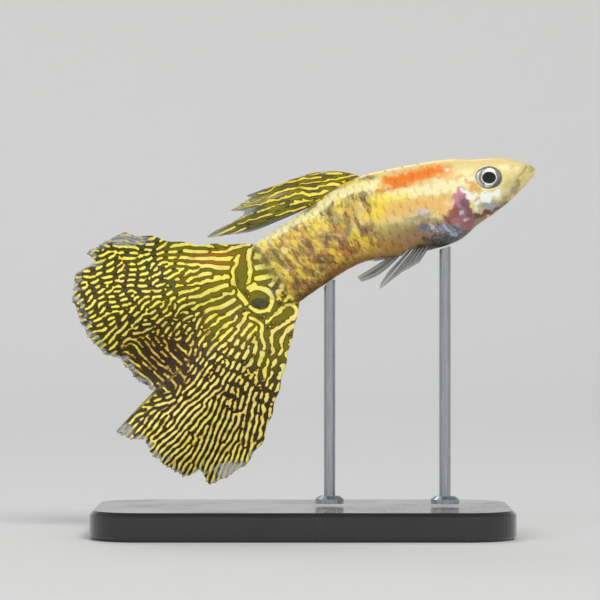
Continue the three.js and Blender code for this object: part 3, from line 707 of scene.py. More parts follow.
tail = {
    "apex": (-0.315, 29.36),
    "root": 4.6,
    "sink": 1.0,
    "common": 17.0,  # the rows keep to this length, and reach the edge by the cube of their share
    "rootAngles": (-14, 90),
    "outerAngles": (-6.5, 77),
    "settle": 6.3,
    "hollow": 3.2,  # degrees the upper edge bends in, and the lower edge out
    "bulge": 1.2,
    "waves": 2.3,
    "waveStart": 0.6,
    "waveHeight": 1.15,
    "leanLength": 14.0,
    "rays": 20,
    "forks": (0.22, 0.5),
    "rayWidth": 0.05,
    "rayHeight": 0.045,
    "thick": (0.34, 0.12),
    "fringe": 0.008,
    "teeth": 0.11,
    "grid": (150, 321),
    "seed": 5,
    "edge": [
        (0, 18.6), (0.03, 20.7), (0.08, 22.7), (0.105, 21.6), (0.135, 23.9), (0.21, 24.5),
        (0.33, 24.0), (0.4, 23.2), (0.435, 22.0), (0.52, 21.8), (0.588, 21.1), (0.6, 27.1),
        (0.635, 26.6), (0.675, 25.5), (0.72, 26.3), (0.82, 26.5), (0.855, 25.1), (0.89, 26.2),
        (0.93, 24.9), (0.965, 23.3), (1, 20.6),
    ],
    "net": {"low": (-25.5, 3.0), "high": (2.0, 36.0), "pitch": 0.07, "seed": 3, "rounds": 6},
    "ribs": {"low": (-25.5, 3.0), "high": (2.0, 36.0), "pitch": 0.07, "seed": 5, "rounds": 3},
    "pleat": (-15.6, 17.8),  # a fold near the cleft, where the lines turn across the rays
    "tips": [((-18.6, 31.0), (2.6, 0.65)), ((-19.3, 10.9), (1.6, 0.9)), ((-7.6, 6.6), (1.9, 1.0))],
    "rootSpots": [
        ((-4.57, 24.27), (1.0, 0.6), (0.25, 0.25, 0.19)),
        ((-2.73, 25.58), (1.4, 0.8), (0.36, 0.31, 0.17)),
    ],
    "ground": {
        "root": (0.48, 0.46, 0.05),
        "outer": (0.27, 0.26, 0.04),
        "lower": (0.16, 0.15, 0.06),
        # painted shade: dark brown ground where the fin folds near the cleft
        "pleat": (0.19, 0.10, 0.03),
        "rust": (0.74, 0.42, 0.05),
    },
    # line colours; the pleat one is painted shade on the lines in the fold
    "line": {"yellow": (1.0, 0.94, 0.20), "cream": (1.0, 0.92, 0.48), "pleat": (0.66, 0.44, 0.14)},
    "wavelengths": {"root": 1.1, "outer": 0.6, "lower": 0.56, "ribs": 1.2},
    "strokes": [
        stroke([(-5.04, 24.84), (-4.51, 24.84), (-4.30, 24.21)], (0.6, 0.5), True),
        stroke([(-6.19, 29.88), (-6.40, 28.41), (-6.40, 26.11)], (0.3, 0.45), True),
        stroke([(-2.83, 22.64), (-1.36, 23.48)], (0.4, 0.5), True),
        stroke([(-5.35, 30.62), (-5.77, 29.15), (-5.56, 27.79), (-5.77, 26.42)], (0.26, 0.3)),
        stroke([(-6.72, 29.25), (-7.35, 27.68), (-7.25, 26.11), (-6.30, 24.74), (-5.88, 24.11)],
               (0.2, 0.3)),
        stroke([(-5.56, 25.79), (-4.72, 26.00), (-3.78, 25.58), (-3.25, 24.74), (-3.57, 23.69),
               (-4.62, 23.38), (-5.56, 23.90)], (0.34, 0.2)),
        stroke([(-4.20, 22.01), (-2.94, 23.06), (-1.68, 24.11), (-0.84, 23.90), (-0.63, 23.16),
               (-1.47, 22.43), (-2.83, 21.59), (-3.36, 20.64), (-3.15, 19.28), (-3.78, 18.02),
               (-4.20, 16.13)], (0.18, 0.2)),
        stroke([(-5.56, 22.75), (-4.83, 22.43), (-4.30, 21.91), (-4.41, 20.85), (-4.09, 19.70),
               (-4.62, 17.81)], (0.16, 0.2)),
        stroke([(-0.53, 22.22), (-1.36, 21.59), (-2.21, 20.64), (-2.31, 19.17), (-3.04, 18.02),
               (-3.36, 16.76), (-3.88, 15.71)], (0.22, 0.18)),
        stroke([(-0.94, 20.64), (-1.26, 19.80), (-1.68, 18.55)], (0.24, 0.2)),
        stroke([(-1.99, 17.91), (-2.42, 16.66), (-2.62, 15.50), (-3.04, 14.13)], (0.2, 0.2)),
        stroke([(-3.67, 14.87), (-4.09, 13.29), (-4.30, 11.61), (-4.62, 9.93)], (0.18, 0.2)),
        stroke([(-4.93, 14.97), (-5.25, 13.29), (-5.67, 11.40), (-6.09, 9.30)], (0.18, 0.18)),
        stroke([(-9.66, 29.78), (-8.40, 29.68), (-7.46, 30.09), (-5.67, 30.52)], (0.14, 0.2)),
        stroke([(-7.98, 27.15), (-9.66, 26.73), (-11.45, 26.31), (-14.28, 26.11)], (0.24, 0.12)),
        stroke([(-7.35, 25.58), (-8.61, 25.05), (-10.29, 24.32), (-12.07, 23.48), (-13.54, 22.64)],
               (0.24, 0.12)),
        stroke([(-6.61, 24.00), (-7.77, 23.16), (-9.13, 22.32), (-10.29, 21.38)], (0.22, 0.14)),
        stroke([(-6.93, 22.75), (-8.08, 22.01), (-9.03, 21.06), (-10.39, 19.70)], (0.2, 0.14)),
    ],
}


# ray direction and distance from the apex at points of the side view
def tailPolar(x, z):
    dx, dz = tail["apex"][0] - x, tail["apex"][1] - z
    return np.hypot(dx, dz), np.degrees(np.arctan2(dz, dx))


def pleatShare(x, z):
    dx, dz = x - tail["pleat"][0], z - tail["pleat"][1]
    return smooth(0.3, 0.7, np.exp(-(dx / 4.4) ** 2 - (dz / 3.8) ** 2))


# the net's rules on the tail fin: long lines at the root and in the lower lobe, dashes outside
def tailRules(x, z):
    flat = np.stack([x, z], -1)
    radius, angle = tailPolar(x, z)
    lower = smooth(40, 56, angle)
    last = smooth(58, 70, angle)
    far = smooth(5.5 + 1.5 * last, 15 + 5 * last, radius + 0.8 * waves(flat, 4.0, 51))
    outer = smooth(10, 15, radius) * (1 - lower)
    pleat = pleatShare(x, z)
    flatter = 16 * smooth(14, 22, radius) * smooth(40, 45, angle) * (1 - smooth(48, 60, angle))
    turn = np.radians(angle + 14 * outer - flatter + 22 * waves(flat, 3.5, 52) * blend(0.6, 0.1, lower))
    pleatTurn = math.radians(-42)
    c = blend(np.cos(2 * turn), math.cos(2 * pleatTurn), pleat)
    n = blend(np.sin(2 * turn), math.sin(2 * pleatTurn), pleat)
    keep = blend(blend(2.0, 1.1, outer), 6.0, lower)
    lengths = tail["wavelengths"]
    return {
        "wavelength": blend(lengths["root"], blend(lengths["outer"], lengths["lower"], lower), far),
        "direction": 0.5 * np.arctan2(n, c),
        "keep": blend(keep, 3.0, pleat),
        "dots": 0.18 * outer * (1 - 0.5 * pleat) + 0.02 * lower * smooth(6, 10, radius) - 0.08,
        "rough": blend(0.15, 0.42, outer) + 0.3 * lower,
    }


# a second, coarser net whose lines cross the rays: it cuts the first one's into dashes
def ribRules(x, z):
    even = np.ones(x.shape)
    turn = np.radians(tailPolar(x, z)[1]) + math.pi / 2
    length = tail["wavelengths"]["ribs"] * even
    return {
        "wavelength": length,
        "direction": turn,
        "keep": 0.3 * even,
        "dots": 0.4 * even,
        "rough": 0.7 * even,
    }


def growTail():
    net = growLace(tail["net"], tailRules, tail["strokes"])
    ribs = growLace(tail["ribs"], ribRules)
    low, high, pitch = tail["net"]["low"], tail["net"]["high"], tail["net"]["pitch"]
    x, z = np.meshgrid(np.arange(low[0], high[0], pitch), np.arange(low[1], high[1], pitch))
    radius, angle = tailPolar(x, z)
    lower = smooth(40, 56, angle)
    inner = 0.85 * smooth(8, 11, radius) * (1 - 0.5 * smooth(15, 20, radius))
    amount = blend(smooth(9.5, 14, radius), inner, lower)
    offset = 0.06 + 0.06 * smooth(8, 12, radius) + lower * blend(0.14, 0.08, smooth(10, 16, radius))
    offset = offset - 0.24 * pleatShare(x, z)
    net["field"] = net["field"] + offset - 1.35 * amount * smooth(0.15, 0.8, ribs["field"])
    return net


tailNet = growTail()
print("net of lines grown")


# ground and line colours of the tail fin at points of the side view, with painted shade in the fold near
# the cleft
def tailColours(x, z, place):
    flat = np.stack([x, z], -1)
    patchy = waves(flat, 4.0, 31)
    radius, _ = tailPolar(x, z)
    outer = smooth(8, 19, radius + patchy)
    lower = smooth(0.55, 0.68, place)
    # painted shade of the fold near the cleft, on the ground and on the lines
    pleat = np.exp(-((x + 14.5) / 4.4) ** 2 - ((z - 18.5) / 4.2) ** 2)
    rust = np.exp(-((x + 9.0) / 2.3) ** 2 - ((z - 29.0) / 0.65) ** 2)
    shades = tail["ground"]
    ground = tint(linear(shades["root"]), shades["outer"], outer)
    ground = tint(ground, shades["lower"], 0.85 * lower * smooth(9, 16, radius))
    ground = tint(ground, shades["pleat"], pleat * 0.97)
    ground = tint(ground, shades["rust"], rust * 0.95)
    for at, size, colour in tail["rootSpots"]:
        ground = tint(ground, colour, 0.85 * (1 - smooth(0.86, 1.04, ellipse(x, z, at, size))))
    creamy = np.clip(0.15 + 0.65 * lower + 0.3 * patchy, 0, 1)
    line = tint(linear(tail["line"]["yellow"]), tail["line"]["cream"], creamy)
    foldShade = np.clip(pleat + 0.25 * waves(flat, 1.5, 34), 0, 1)
    return ground, tint(line, tail["line"]["pleat"], foldShade * 0.82)


skinGrid = {"rows": 318, "around": 300, "rim": 0.16, "bow": -0.28, "end": 0.36}


# a point of the skin or of a scale on it: the body's form with its relief, raised by lift, and
# thinned to the tail fin's thickness past the root
def skinPoint(s, angle, lift=0.0):
    s, angle, lift = np.broadcast_arrays(np.asarray(s, dtype=float), angle, lift)
    out = relief(bodyPoint(s, angle), angle) + lift
    thin = smooth(body["root"] - 0.75, body["root"] + 0.2, s)
    wide = np.maximum(0.01, through(body["side"], s))
    out = out - thin * np.abs(np.sin(angle)) * (wide - skinGrid["rim"])
    return bodyPoint(s, angle, out * smooth(0, 0.4, s))


scales = {
    "first": 7.35,
    "last": 15.6,
    "columns": 27,
    "around": 18,
    "length": 1.75,  # in columns
    "width": 1.16,  # in places around
    "arcRows": 12,  # sections where the arc is measured for the colours
    "lift": (0.001, 0.03),  # of the rear edge, in front and behind
    "liftFrom": (6, 17),  # columns between which it rises
    "crown": 0.008,
    "under": 0.07,
    "rows": 5,
    "across": 9,
    "tones": [
        (0.95, 0.82, 0.28), (0.86, 0.66, 0.12), (0.76, 0.55, 0.10), (0.60, 0.54, 0.09),
        (0.80, 0.53, 0.16), (0.60, 0.39, 0.10), (0.98, 0.90, 0.50), (0.46, 0.42, 0.07),
    ],
    "lowTones": [1, 2, 4, 5, 5, 3, 4, 7, 5],  # the tones of the lower flank, by their place in tones
    "midTones": [0, 1, 1, 2, 3, 4, 1, 6, 3],
    "topTones": [1, 0, 1, 0, 3, 1, 6, 3, 1],
    "seed": 21,
}


# share of the way round the section (by arc) for angles from 0, at stations
def arcTable(stations):
    angle = np.linspace(0, 2 * math.pi, 361)
    points = bodyPoint(np.asarray(stations)[:, None], angle[None, :])
    steps = np.linalg.norm(np.diff(points, axis=1), axis=-1)
    total = np.concatenate([np.zeros((len(steps), 1)), np.cumsum(steps, axis=1)], axis=1)
    return angle, total / total[:, -1:]


# a random number from 0 to 1 for each scale, by its column and its place around
def scalePick(column, place):
    table = np.random.default_rng(scales["seed"]).uniform(size=(scales["columns"] + 4, scales["around"]))
    return table[np.clip(column, 0, scales["columns"] + 3), place % scales["around"]]


# the rear flank's mottling: each scale has its own tone, picked from those of its height
def mottle(colour, points, column, place, height):
    pick = scalePick(column, place)
    tones = linear(np.asarray(scales["tones"]))
    low, mid, top = (np.asarray(scales[key]) for key in ("lowTones", "midTones", "topTones"))
    slot = np.clip((pick * len(low)).astype(int), 0, len(low) - 1)
    tone = np.where((height < 0.0)[..., None], tones[low[slot]], tones[mid[slot]])
    tone = np.where((height > 0.62)[..., None], tones[top[slot]], tone)
    x = points[..., 0] + 0.5 * waves(points, 2.0, 41)
    below = height + 0.1 * waves(points, 1.5, 42)
    share = smooth(7.0, 4.6, x) * smooth(-0.86, -0.6, below) * smooth(-5.4, -4.6, x)
    share = share * blend(0.5, 0.9, pick * 7 % 1.0) * (1 - 0.45 * smooth(0.5, 0.75, height))
    return blend(colour, tone, share[..., None]), share


# the bright band along the back, its edges stepped from scale to scale: partly the fish's pale stripe,
# partly a painted highlight
creamBandAndHighlight = {
    "line": [
        (8.50, 36.81), (6.83, 36.61), (5.35, 36.29), (3.67, 35.66), (2.21, 34.72), (0.84, 33.66),
        (-1.16, 32.72), (-3.67, 31.46), (-5.56, 30.62),
    ],
    "wide": (0.5, 0.46),
    "steps": 0.3,
    "colour": (1.0, 0.97, 0.70),
    "amount": 0.97,
}


def addBandAndHighlight(colour, points, column, place):
    x, z = points[..., 0], points[..., 2]
    d, along = toLine(x, z, smoothLine(creamBandAndHighlight["line"]))
    half = blend(*creamBandAndHighlight["wide"], along) + creamBandAndHighlight["steps"] * (scalePick(column, place) - 0.5)
    half = half + 0.06 * waves(points, 0.5, 44)
    share = smooth(-0.16, 0.16, half - d) * creamBandAndHighlight["amount"] * smooth(0.0, 0.05, along)
    return tint(colour, creamBandAndHighlight["colour"], share), share


# colours, silver, brushed share and flow (along, around) of points at station and angle
def skinMarks(points, s, angle, column, place):
    colour, shine = paint(points)
    height = np.cos(angle)
    colour, mottled = mottle(colour, points, column, place, height)
    # bright band along the back, partly a painted highlight
    colour, bandAndHighlight = addBandAndHighlight(colour, points, column, place)
    shine = np.maximum(shine, 0.22 * mottled)
    x, z = points[..., 0], points[..., 2]
    ground, line = tailColours(x, z, np.full(x.shape, 0.3))
    ends = smooth(15.3, 15.75, s + 0.12 * waves(points, 0.8, 43))[..., None]
    colour = blend(colour, laceColour(sampleLace(tailNet, x, z), ground, line), ends)
    brush = smooth(9.5, 6.6, x) * smooth(-0.95, -0.5, height) * (1 - ends[..., 0]) * (1 - 0.9 * bandAndHighlight)
    flow = np.stack([s * 2.0, np.cos(angle) * 4.0, np.sin(angle) * 4.0], -1)
    return {"paint": colour, "shine": shine, "brush": brush, "flow": flow}


def makeSkin():
    share = np.linspace(0, 1, skinGrid["rows"])[:, None]
    rows = share ** 1.12 * (body["root"] + skinGrid["end"])
    count = skinGrid["around"]
    angle = np.linspace(0, 2 * math.pi, count, endpoint=False)[None, :]
    s = rows + skinGrid["bow"] * np.cos(2 * angle) * smooth(14.5, 16.3, rows)
    angle = angle + 0 * s
    points = skinPoint(s, angle).reshape(-1, 3)
    s, angle = s.ravel(), angle.ravel()
    faces = (gridQuads(skinGrid["rows"], count, True)[count:] - count + 1).tolist()
    ring = np.arange(count)
    faces += np.stack([0 * ring, ring + 1, (ring + 1) % count + 1], -1).tolist()
    faces.append((ring + 1 + (skinGrid["rows"] - 2) * count).tolist())
    keep = np.concatenate([[0], np.arange(count, len(points))])
    points, s, angle = points[keep], s[keep], angle[keep]
    column, place = scaleCell(s, angle)
    piece = makePiece("skin", points, faces, skin, skinMarks(points, s, angle, column, place))
    fixNormals(piece)
    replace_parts(piece, "head", "trunk", "tail_stalk")


# the scale whose middle lies nearest to a station and angle
def scaleCell(s, angle):
    pitch = (scales["last"] - scales["first"]) / (scales["columns"] - 1)
    column = np.round((s - scales["first"]) / pitch - 0.4).astype(int)
    _, arc = arcTable(np.linspace(scales["first"], scales["last"], scales["arcRows"]))
    way = (s - scales["first"]) / (scales["last"] - scales["first"])
    last = scales["arcRows"] - 1
    which = np.clip(np.round(way * last), 0, last).astype(int)
    step = np.clip((angle % (2 * math.pi)) / (2 * math.pi) * 360, 0, 359).astype(int)
    share = arc[which, step]
    return column, np.round(share * scales["around"] - 0.5 * (column % 2)).astype(int)


# scales over the skin: round plates that rise towards their rear edge, each closed by a skirt
# and a floor under the skin. One piece holds the columns from first to last given.
def makeScales(name, firstColumn, lastColumn):
    columns = np.arange(firstColumn, lastColumn)
    pitch = (scales["last"] - scales["first"]) / (scales["columns"] - 1)
    table, arc = arcTable(scales["first"] + columns * pitch)
    i = np.repeat(np.arange(len(columns)), scales["around"])
    k = np.tile(np.arange(scales["around"]), len(columns))
    v = np.linspace(0, 1, scales["rows"])[None, :, None]
    u = np.linspace(-1, 1, scales["across"])[None, None, :]
    middle = (k + 0.5 * (columns[i] % 2)) / scales["around"]
    spread = np.sqrt(np.clip(1 - (np.clip(v - 0.45, 0, 1) / 0.55 * 0.86) ** 2, 0, 1))
    share = middle[:, None, None] + u * spread * scales["width"] / 2 / scales["around"]
    end = 1 - 0.16 * (1 - np.sqrt(np.clip(1 - (u * 0.9) ** 2, 0, 1)))
    s = (scales["first"] + columns[i] * pitch)[:, None, None] + (v * end - 0.5) * scales["length"] * pitch
    angle = np.empty(share.shape)
    for c in range(len(columns)):
        mine = i == c
        turns = np.floor(share[mine])
        angle[mine] = (np.interp(share[mine] - turns, arc[c], table) + turns * 2 * math.pi)
    s = s + 0 * angle
    edge = np.maximum(np.abs(u), smooth(0.7, 1, v))
    behind = smooth(*scales["liftFrom"], columns[i])[:, None, None]
    rise = blend(*scales["lift"], behind)
    crown = scales["crown"] * (1 - u ** 2) * blend(0.3, 1.0, behind)
    lift = blend(-0.5 * rise - 0.004, rise, v) + crown - 0.008 * smooth(0.85, 1, edge) * behind
    top = skinPoint(s, angle, lift)
    bottom = skinPoint(s, angle, -scales["under"])
    rows, across = scales["rows"], scales["across"]
    grid = np.arange(rows * across).reshape(rows, across)
    rim = np.concatenate([grid[0, :-1], grid[:-1, -1], grid[-1, :0:-1], grid[:0:-1, 0]])
    count = rows * across + len(rim)
    quads = gridQuads(rows, across)
    low = rows * across + np.arange(len(rim))
    skirt = np.stack([rim, low, np.roll(low, -1), np.roll(rim, -1)], -1)
    points = np.concatenate([top.reshape(len(i), -1, 3), bottom.reshape(len(i), -1, 3)[:, rim]], axis=1)
    starts = (np.arange(len(i)) * count)[:, None, None]
    faces = (np.concatenate([quads[:, ::-1], skirt[:, ::-1]])[None] + starts).reshape(-1, 4).tolist()
    faces += (low[None] + starts[:, :, 0]).tolist()

    def spreadOut(values):
        flat = values.reshape(len(i), -1)
        return np.concatenate([flat, flat[:, rim]], axis=1).ravel()

    column = np.repeat(columns[i], count)
    cell = np.repeat(k, count)
    flat = points.reshape(-1, 3)
    marks = skinMarks(flat, spreadOut(s), spreadOut(angle), column, cell)
    patch = np.stack(np.broadcast_arrays(u * 0.0015, (v - 0.5) * 0.003), -1)[0].reshape(1, -1, 2)
    patch = np.concatenate([patch, patch[:, rim]], axis=1)
    along = (scales["first"] + columns[i] * pitch) / 17.0
    root = np.stack([along, middle % 1.0 * 0.98 + 0.01], -1)[:, None]
    piece = makePiece(name, flat, faces, skin, marks, (root + patch).reshape(-1, 2))
    isTop = np.arange(len(quads) + len(skirt)) < len(quads)
    isSmooth = np.concatenate([np.tile(isTop, len(i)), np.zeros(len(i), bool)])
    piece.data.polygons.foreach_set("use_smooth", isSmooth)
    fixNormals(piece)


# turns a closed mesh right side out if its volume is negative
def fixNormals(piece):
    work = bmesh.new()
    work.from_mesh(piece.data)
    if work.calc_volume(signed=True) < 0:
        bmesh.ops.reverse_faces(work, faces=work.faces)
        work.to_mesh(piece.data)
    work.free()


makeSkin()
print("skin made")
makeScales("scales_front", 0, 13)
makeScales("scales_rear", 13, scales["columns"])
print("scales made")


# a direction in the upright plane, in degrees below tailward
def heading(degrees):
    a = np.radians(degrees)
    return np.stack([-np.cos(a), np.zeros_like(a), -np.sin(a)], -1)


# the value at a place of a table of (place, value) rows
def tableAt(rows, place):
    table = np.asarray(rows, dtype=float)
    return np.interp(place, table[:, 0], table[:, 1])


# ridges of the fin rays: each ray is a bump across the fin, and forks twice on its way out
def rayRidge(place, out, rays, forks, width):
    t = (place * rays) % 1.0 - 0.5
    first = 0.25 * smooth(forks[0], forks[0] + 0.28, out)
    second = 0.125 * smooth(forks[1], forks[1] + 0.28, out)
    ridge = np.zeros(np.broadcast(place, out).shape)
    for a in (-1, 1):
        for b in (-1, 1):
            near = np.abs(t - a * first - b * second)
            ridge = np.maximum(ridge, np.exp(-(np.minimum(near, 1 - near) / width) ** 2))
    return ridge


# a fin as one closed thin sheet: middle + normal * half thickness on both faces, and its rims
def makeFin(name, fin, surface, material, painter):
    rows, columns = fin["grid"]
    out, place = np.meshgrid(np.linspace(0, 1, rows), np.linspace(0, 1, columns), indexing="ij")
    ridge = rayRidge(place, out, fin["rays"], fin["forks"], fin["rayWidth"])
    span = place[0] * fin["rays"]
    ragged = np.sin(span * 5.1 + fin["seed"]) + np.sin(span * 8.7 + 2.0) + 0.8 * np.sin(span * 14.3 + 1.0)
    edge = tableAt(fin["edge"], place[0]) - fin.get("root", 0.0) + fin["teeth"] * ragged / 2
    edge = edge * (1 - fin["fringe"] * (1 - ridge[-1]))
    common = fin.get("common", edge[None, :])
    distance = -fin["sink"] + (common + fin["sink"]) * out + (edge[None, :] - common) * out ** 3
    middle = surface(distance, place)
    normal = np.cross(np.gradient(middle, axis=0), np.gradient(middle, axis=1))
    normal /= np.linalg.norm(normal, axis=-1, keepdims=True) + 1e-12
    half = blend(*fin["thick"], smooth(0, 1, out)) / 2 + fin["rayHeight"] * ridge * (1 - 0.6 * out)
    half = half * blend(1.0, 0.35, smooth(0.93, 1, out))
    shift = normal * half[..., None]
    points = np.concatenate([(middle + shift).reshape(-1, 3), (middle - shift).reshape(-1, 3)])
    quads = gridQuads(rows, columns)
    n = rows * columns
    ends = np.arange(n).reshape(rows, columns)
    rim = np.concatenate([ends[-1, :-1], ends[:0:-1, -1], ends[0, :0:-1], ends[:-1, 0]])
    after = np.roll(rim, -1)
    sides = np.stack([rim, rim + n, after + n, after], -1)
    faces = np.concatenate([quads[:, ::-1], quads + n, sides])
    marks = painter(middle, place, out, distance, edge)
    marks["ray"] = np.maximum(0.6 * ridge, marks["ray"]) if "ray" in marks else ridge
    both = {key: np.concatenate([value.reshape(n, *value.shape[2:])] * 2) for key, value in marks.items()}
    piece = makePiece(name, points, faces.tolist(), material, both)
    fixNormals(piece)
    return piece


# patterned fin: ground, a dark outline, an amber edge and the bright line, all by the net mark
def laceMaterial():
    material, tree, shader = newMaterial("lace membrane")
    shade, height = addGrain(tree, 7.0, 0.14)
    wobble = mathNode(tree, "MULTIPLY_ADD", height, 0.4, -0.2)
    field = mathNode(tree, "ADD", markNode(tree, "lace"), wobble)
    outline = rangeNode(tree, field, *laceFinish["outlineFrom"], (0.0, 0.8))
    colour = mixNode(tree, outline, markNode(tree, "ground", "Color"), laceFinish["dark"])
    colour = mixNode(tree, rangeNode(tree, field, *laceFinish["amberFrom"]), colour, laceFinish["amber"])
    bright = rangeNode(tree, field, *laceFinish["lineFrom"])
    colour = mixNode(tree, bright, colour, markNode(tree, "line", "Color"))
    core = rangeNode(tree, field, *laceFinish["coreFrom"], (0.0, 0.5))
    colour = mixNode(tree, core, colour, laceFinish["core"])
    clear = markNode(tree, "clear")
    ray = times(tree, markNode(tree, "ray"), 0.8)
    glass = mixNode(tree, ray, laceFinish["glass"], laceFinish["glassRay"])
    unlined = mathNode(tree, "MULTIPLY_ADD", bright, -0.5, 1.0)
    colour = mixNode(tree, times(tree, clear, unlined), colour, glass)
    raised = mathNode(tree, "ADD", height, rangeNode(tree, field, 0.0, 0.6))
    setInputs(tree, shader, {
        "Base Color": shaded(tree, colour, shade),
        "Alpha": mathNode(tree, "MULTIPLY_ADD", clear, -0.58, 1.0),
        "Roughness": 0.42,
        "Specular IOR Level": 0.28,
        "Coat Weight": 0.06,
        "Coat Roughness": 0.2,
        "Normal": bumpNode(tree, raised, 0.012),
    })
    return material


laceFin = laceMaterial()


# rays fan out from the apex; the outer half ripples from side to side
def tailSurface(distance, place):
    radius = tail["root"] + distance
    swing = np.exp(-np.maximum(0, distance) / tail["settle"])
    angle = blend(blend(*tail["outerAngles"], place), blend(*tail["rootAngles"], place), swing)
    hollow = tail["hollow"] * np.exp(-((radius - 10.5) / 4.5) ** 2) + 0.5 * np.sin(1.9 * radius)
    bulge = tail["bulge"] * np.exp(-((radius - 14) / 6) ** 2) + 0.35 * np.sin(2.3 * radius)
    angle = angle + hollow * (1 - smooth(0, 0.25, place)) + bulge * smooth(0.85, 1, place)
    point = heading(angle) * radius[..., None]
    point[..., 0] += tail["apex"][0]
    point[..., 2] += tail["apex"][1]
    behind = -3.6 - point[..., 0]
    step = spine(body["root"]) - spine(body["root"] - 0.02)
    lean = step[1] / -step[0] * behind * np.exp(-np.maximum(0, behind) / tail["leanLength"])
    ripple = smooth(0, 20, distance) * tail["waveHeight"]
    wave = np.sin(2 * math.pi * tail["waves"] * place + tail["waveStart"])
    point[..., 1] = body["sway"] + lean + ripple * wave
    return point


def tailPaint(middle, place, out, distance, edge):
    x, z = middle[..., 0], middle[..., 2]
    flat = np.stack([x, z], -1)
    radius, _ = tailPolar(x, z)
    upper = smooth(8, 17, radius) * (1 - smooth(0.5, 0.62, place))
    field = sampleLace(tailNet, x, z) + 0.06 * upper
    ground, line = tailColours(x, z, place)
    toEdge = edge - distance + 0.3 * waves(flat, 1.0, 32)
    clear = 1 - smooth(0.1, blend(0.9, 0.5, smooth(0.55, 0.65, place)), toEdge)
    for tip, size in tail["tips"]:
        near = ellipse(x, z, tip, size) + 0.1 * waves(flat, 0.8, 35)
        clear = np.maximum(clear, 1 - smooth(0.7, 1.1, near))
    return {"lace": field, "ground": ground, "line": line, "clear": clear * 0.9}


tailPiece = makeFin("tail_fan", tail, tailSurface, laceFin, tailPaint)
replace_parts(tailPiece, "tail_fin")
print("tail fin made")


dorsal = {
    "from": 10.1,
    "to": 12.25,
    "sink": 0.5,
    "angles": (-20, 26),
    # how fast the rays droop, in degrees per mm, by their place
    "curls": [(0, 3.25), (0.3, 1.3), (0.5, 0.8), (0.7, 0.35), (0.8, 0.1), (0.93, -0.3), (1, -0.35)],
    "rays": 9,
    "forks": (0.35, 0.7),
    "rayWidth": 0.06,
    "rayHeight": 0.05,
    "thick": (0.26, 0.1),
    "fringe": 0.02,
    "teeth": 0.06,
    "grid": (120, 181),
    "seed": 6,
    "wave": 0.35,
    "net": {"low": (-11.5, 29.5), "high": (7.6, 40.0), "pitch": 0.06, "seed": 17, "rounds": 5},
    "apex": (10.19, 38.81),
    "strokes": [
        stroke([(5.77, 37.87), (4.41, 37.18), (2.94, 36.45), (1.57, 35.61), (0.53, 35.13), (-0.73, 34.92),
               (-1.78, 34.19), (-3.25, 33.66)], (0.19, 0.12)),
        stroke([(3.67, 36.87), (2.42, 36.66), (1.16, 36.34), (0.21, 36.45), (-0.53, 36.50), (-1.47, 36.29),
               (-2.31, 35.97), (-3.25, 35.55), (-4.30, 35.13), (-5.88, 34.92), (-6.61, 34.72)],
               (0.22, 0.1)),
        stroke([(2.52, 36.19), (1.57, 35.82), (0.53, 35.66), (-0.10, 35.92), (-0.94, 35.77),
               (-1.89, 35.45), (-2.73, 35.24), (-3.57, 34.98), (-4.51, 34.72), (-5.88, 34.50),
               (-7.25, 34.19)], (0.2, 0.1)),
        stroke([(4.09, 37.97), (3.25, 37.87), (2.42, 37.97)], (0.12, 0.15)),
        stroke([(1.68, 37.92), (0.63, 37.81), (-0.21, 37.60)], (0.13, 0.1)),
        stroke([(5.56, 37.76), (4.09, 37.45), (2.62, 37.23), (1.36, 37.02), (0.32, 36.92), (-0.73, 36.76)],
               (0.13, 0.07)),
        stroke([(1.89, 37.55), (0.94, 37.45), (-0.10, 37.39), (-0.94, 37.08), (-1.89, 36.97),
               (-2.73, 36.61), (-3.67, 36.08), (-4.72, 35.77)], (0.13, 0.1)),
        stroke([(0.73, 34.72), (-0.94, 34.35), (-2.10, 33.72), (-3.67, 32.93), (-5.56, 32.30)],
               (0.1, 0.09)),
        stroke([(0.32, 34.40), (-1.89, 33.82), (-4.09, 33.09), (-5.88, 32.61)], (0.11, 0.08)),
        stroke([(-3.25, 33.66), (-4.72, 33.30), (-5.88, 32.93), (-6.83, 32.61)], (0.11, 0.08)),
    ],
    "edge": [
        (0, 7.9), (0.15, 9.0), (0.3, 10.5), (0.38, 9.6), (0.5, 11.2), (0.58, 9.2), (0.64, 9.0),
        (0.7, 10.2), (0.745, 12.1), (0.79, 12.55), (0.835, 12.4), (0.87, 11.7), (0.93, 9.6), (1, 6.6),
    ],
    "ground": {
        "olive": (0.50, 0.50, 0.10),
        "green": (0.36, 0.39, 0.16),
        "root": (0.60, 0.52, 0.16),
        "pale": (0.90, 0.87, 0.68),
        "lower": (0.34, 0.35, 0.12),
    },
    "line": {"yellow": (1.0, 0.91, 0.26), "gold": (0.98, 0.84, 0.22), "tip": (0.88, 0.82, 0.46)},
}


# rays rise from the back, sweep tailward and droop as they go
def dorsalSurface(distance, place):
    root = bodyPoint(blend(dorsal["from"], dorsal["to"], place), 0.0)
    curl = tableAt(dorsal["curls"], place)
    angle = blend(*dorsal["angles"], place) + curl * np.maximum(0, distance)
    point = root + heading(angle) * distance[..., None]
    point[..., 2] -= 0.3 * (1 - smooth(-0.8, 0.6, distance))
    point[..., 1] += dorsal["wave"] * np.sin(distance * 0.45 + place * 3) * smooth(0, 4, distance)
    return point


# long lines that all point at the apex
def dorsalRules(x, z):
    even = np.ones(x.shape)
    turn = np.arctan2(dorsal["apex"][1] - z, dorsal["apex"][0] - x) + math.radians(2)
    return {
        "wavelength": 0.6 * even,
        "direction": turn,
        "keep": 7.0 * even,
        "dots": 1.15 * even,
        "rough": 0.3 * even,
    }


dorsalNet = growLace(dorsal["net"], dorsalRules, dorsal["strokes"])


